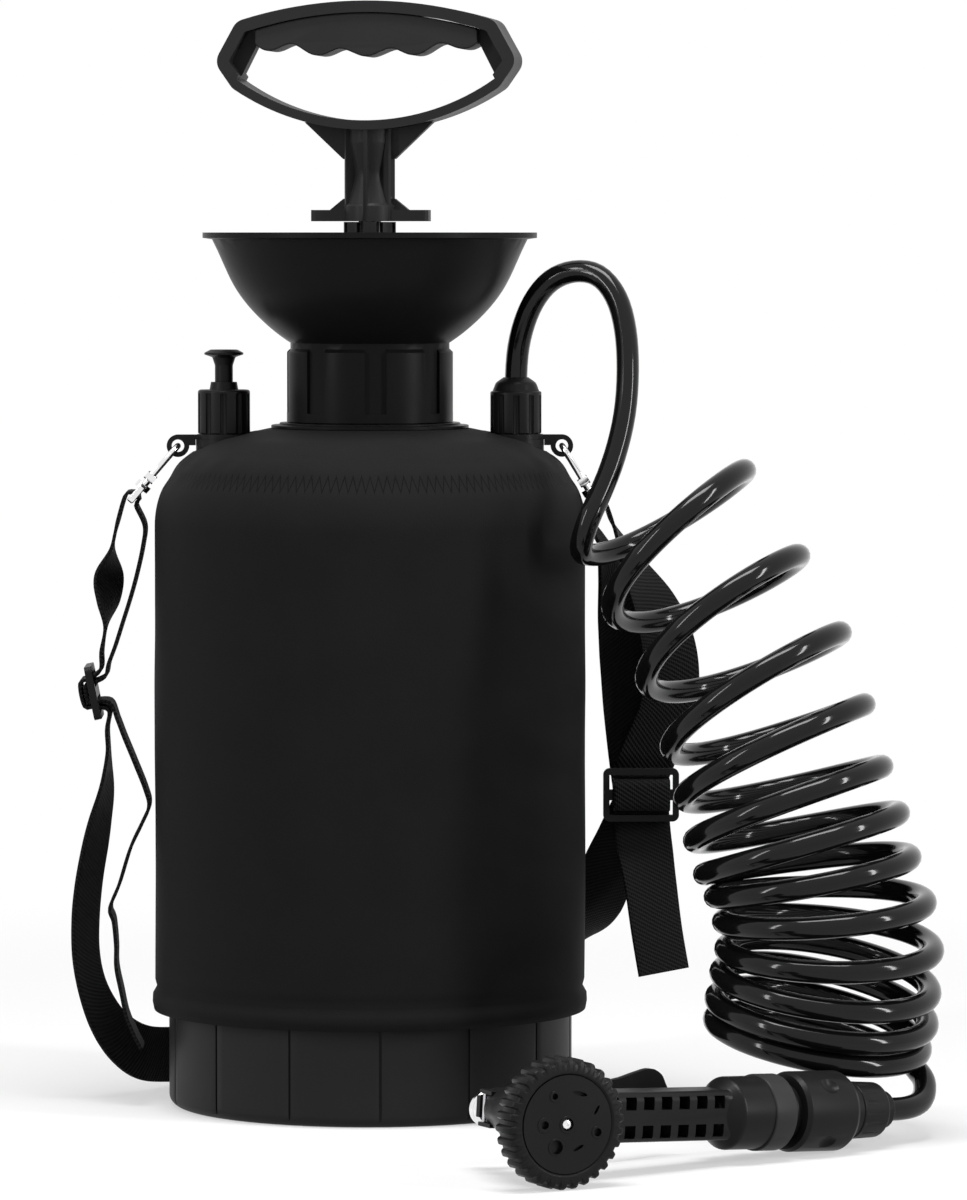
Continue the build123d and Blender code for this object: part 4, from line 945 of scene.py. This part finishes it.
def oval(x, z, wide, high, turn=0.0, count=32):
    """Points round an ellipse, or a circle if wide and high are alike."""
    c, s = math.cos(math.radians(turn)), math.sin(math.radians(turn))
    angles = [2 * math.pi * i / count for i in range(count)]
    flat = [(wide * math.cos(a), high * math.sin(a)) for a in angles]
    return [(x + u * c - v * s, z + u * s + v * c) for u, v in flat]


def make_plate():
    mesh = bmesh.new()
    edges = loop_of(mesh, oval(0, 0, plate_radius, plate_radius, count=96))
    for x, z, radius, rim in round_openings:
        edges += loop_of(mesh, oval(x, z, radius, radius))
    for x, z, wide, high, turn in slots:
        edges += loop_of(mesh, oval(x, z, wide, high, turn))
    filled = bmesh.ops.triangle_fill(mesh, use_beauty=True, use_dissolve=False, edges=edges)["geom"]
    faces = [part for part in filled if isinstance(part, bmesh.types.BMFace)]
    deep_side = bmesh.ops.extrude_face_region(mesh, geom=faces)["geom"]
    moved = [part for part in deep_side if isinstance(part, bmesh.types.BMVert)]
    bmesh.ops.translate(mesh, verts=moved, vec=(0, (plate_back - plate_front) * mm, 0))
    for x, z, radius, rim in round_openings:
        low = plate_front + 0.05
        lathe(mesh, [
            (radius + 0.02, low), (radius + 0.02, rim_front + 0.05), (radius + rim - 0.2, rim_front + 0.05),
            (radius + rim, rim_front + 0.25), (radius + rim, low), (radius + 0.02, low),
        ], 32, (x, z))
    return mesh


def make_jet():
    mesh = bmesh.new()
    lathe(mesh, [
        (0, plate_back - 0.1), (2.3, plate_back - 0.1), (2.3, -24.3), (1.5, -25.0), (0.7, -25.2),
        (0.7, -24.2), (0, -24.2),
    ], 32)
    return mesh


gun_piece("nozzle_plate", make_plate(), "dial", "dial_face", gun_plastic)
gun_piece("centre_jet", make_jet(), "dial", "dial_face", hook_chrome)

# Lever: a leaf-shaped blade behind the barrel, wider where the fingers press it.
# The flow nut's stem passes through its hole, and its short end lies between the cheeks.
blade_stations = [-7.4, 0, 20, 40, 66, 88]
blade_backs = [39.2, 39.9, 40.55, 39.55, 43.05, 49.6]
width_stations = [-7.4, -5, -3.6, 0, 8, 27, 46, 60, 70, 77, 83, 86.6, 88]
half_widths = [4.4, 4.8, 5.9, 7.4, 7.8, 8.2, 9.6, 12.0, 14.6, 15.4, 12.6, 7.0, 2.5]
blade_rows = 106
blade_columns = 20
blade_thickness = 2.7 * mm
blade_front = 38.6 * mm
stem_hole = 4.8 * mm


def make_lever():
    mesh = bmesh.new()
    bmesh.ops.create_grid(mesh, x_segments=blade_rows, y_segments=blade_columns, size=1.0)
    for vertex in mesh.verts:
        along, across = (vertex.co.x + 1) / 2, vertex.co.y
        x = blade_stations[0] + (blade_stations[-1] - blade_stations[0]) * along
        half = between(width_stations, half_widths, min(x, width_stations[-1] - 1e-6))
        back = between(blade_stations, blade_backs, min(x, blade_stations[-1] - 1e-6))
        vertex.co = Vector((x, back, across * half)) * mm
    hole = [v for v in mesh.verts if math.hypot(v.co.x, v.co.z) < stem_hole * 0.9]
    bmesh.ops.delete(mesh, geom=hole, context="VERTS")
    for vertex in mesh.verts:
        flat = Vector((vertex.co.x, vertex.co.z))
        if vertex.is_boundary and flat.length < stem_hole * 1.35 and abs(flat.y) < stem_hole * 1.2:
            vertex.co.x, vertex.co.z = flat.normalized() * stem_hole
    walls = list(mesh.faces)
    bmesh.ops.recalc_face_normals(mesh, faces=walls)
    bmesh.ops.solidify(mesh, geom=walls, thickness=blade_thickness)
    front = min(v.co.y for v in mesh.verts if abs(v.co.x) < 8 * mm)
    bmesh.ops.translate(mesh, verts=mesh.verts, vec=(0, blade_front - front, 0))
    return mesh


gun_piece("lever_look", make_lever(), "trigger", "trigger", gun_plastic, 0.5 * mm)

# Lever pin: a short steel pin between the cheeks that the blade's end rocks on.
# It is plain drawn wire.


def make_pin():
    mesh = bmesh.new()
    across = Matrix.Translation(Vector((-6.6, 35.4, 0)) * mm)
    bmesh.ops.create_cone(
        mesh, cap_ends=True, segments=24, radius1=0.9 * mm, radius2=0.9 * mm, depth=11.8 * mm,
        matrix=across,
    )
    return mesh


gun_piece("lever_pin_look", make_pin(), "gun", "trigger_pin", spring_steel)

# Flow nut: a small chromed nut on the valve stem that sticks out behind the lever.
# It shows past the dial's left side as a bright crescent.
nut_drop = -1.9
nut_outline = [
    (0, 17), (2.2, 17), (2.2, 42.5), (5.8, 42.5), (7.0, 43.6), (7.0, 44.6), (6.4, 45.2), (6.4, 46.4),
    (7.0, 47), (7.0, 48.4), (5.6, 49.6), (0, 49.6),
]


def make_flow_nut():
    mesh = bmesh.new()
    lathe(mesh, nut_outline, 48, (0, nut_drop))
    return mesh


gun_piece("flow_nut_look", make_flow_nut(), "valve_stem", "valve_stem", hook_chrome)

# Inlet ring: the dark grey collar between the gun's cone and the connector.
# It is a little lighter than the gun.
ring_plastic = moulding("ring_plastic", (0.035, 0.035, 0.036), 0.42, 0.3, 900, 0.04)
dress(["gun_inlet_ring"], ring_plastic, 0.4 * mm)

# Quick connector: core, sliding sleeve and ribbed hose nut of half-gloss black plastic.
# The sleeve has a ridge to pull it back by.
dress(["connector_core", "connector_sleeve", "hose_nut"], gun_plastic, 0.3 * mm)

# Bottle: the blow-moulded tank inside the cover, black with a coarse, waxy skin.
# Only its neck and bosses show when the funnel or a nut is off.
bottle_plastic = moulding("bottle_plastic", (0.012, 0.012, 0.0125), 0.5, 0.38, 300, 0.08)
dress(["tank"], bottle_plastic, 0.3 * mm)

# Pump and outlet insides: barrel, piston, rod, guide, fitting, dip tube and filter.
# They are natural, unpainted plastic and show when the pump is pulled or taken out.
natural_plastic = moulding("natural_plastic", (0.42, 0.42, 0.41), 0.45, 0.35, 500, 0.04)
dress(
    ["pump_barrel", "piston", "piston_rod", "rod_guide", "outlet_fitting", "dip_tube", "dip_tube_filter"],
    natural_plastic, 0.2 * mm,
)

# Seals: soft black rubber rings and flaps, dull with a slight bloom.
# They keep the sharp edges of their CAD nodes.
seal_rubber = moulding("seal_rubber", (0.01, 0.01, 0.01), 0.75, 0.6, 1400, 0.05)
dress(
    ["neck_seal", "pump_cap_seal", "foot_valve", "piston_seal", "relief_valve_seal", "outlet_seal",
     "connector_seal"],
    seal_rubber,
)
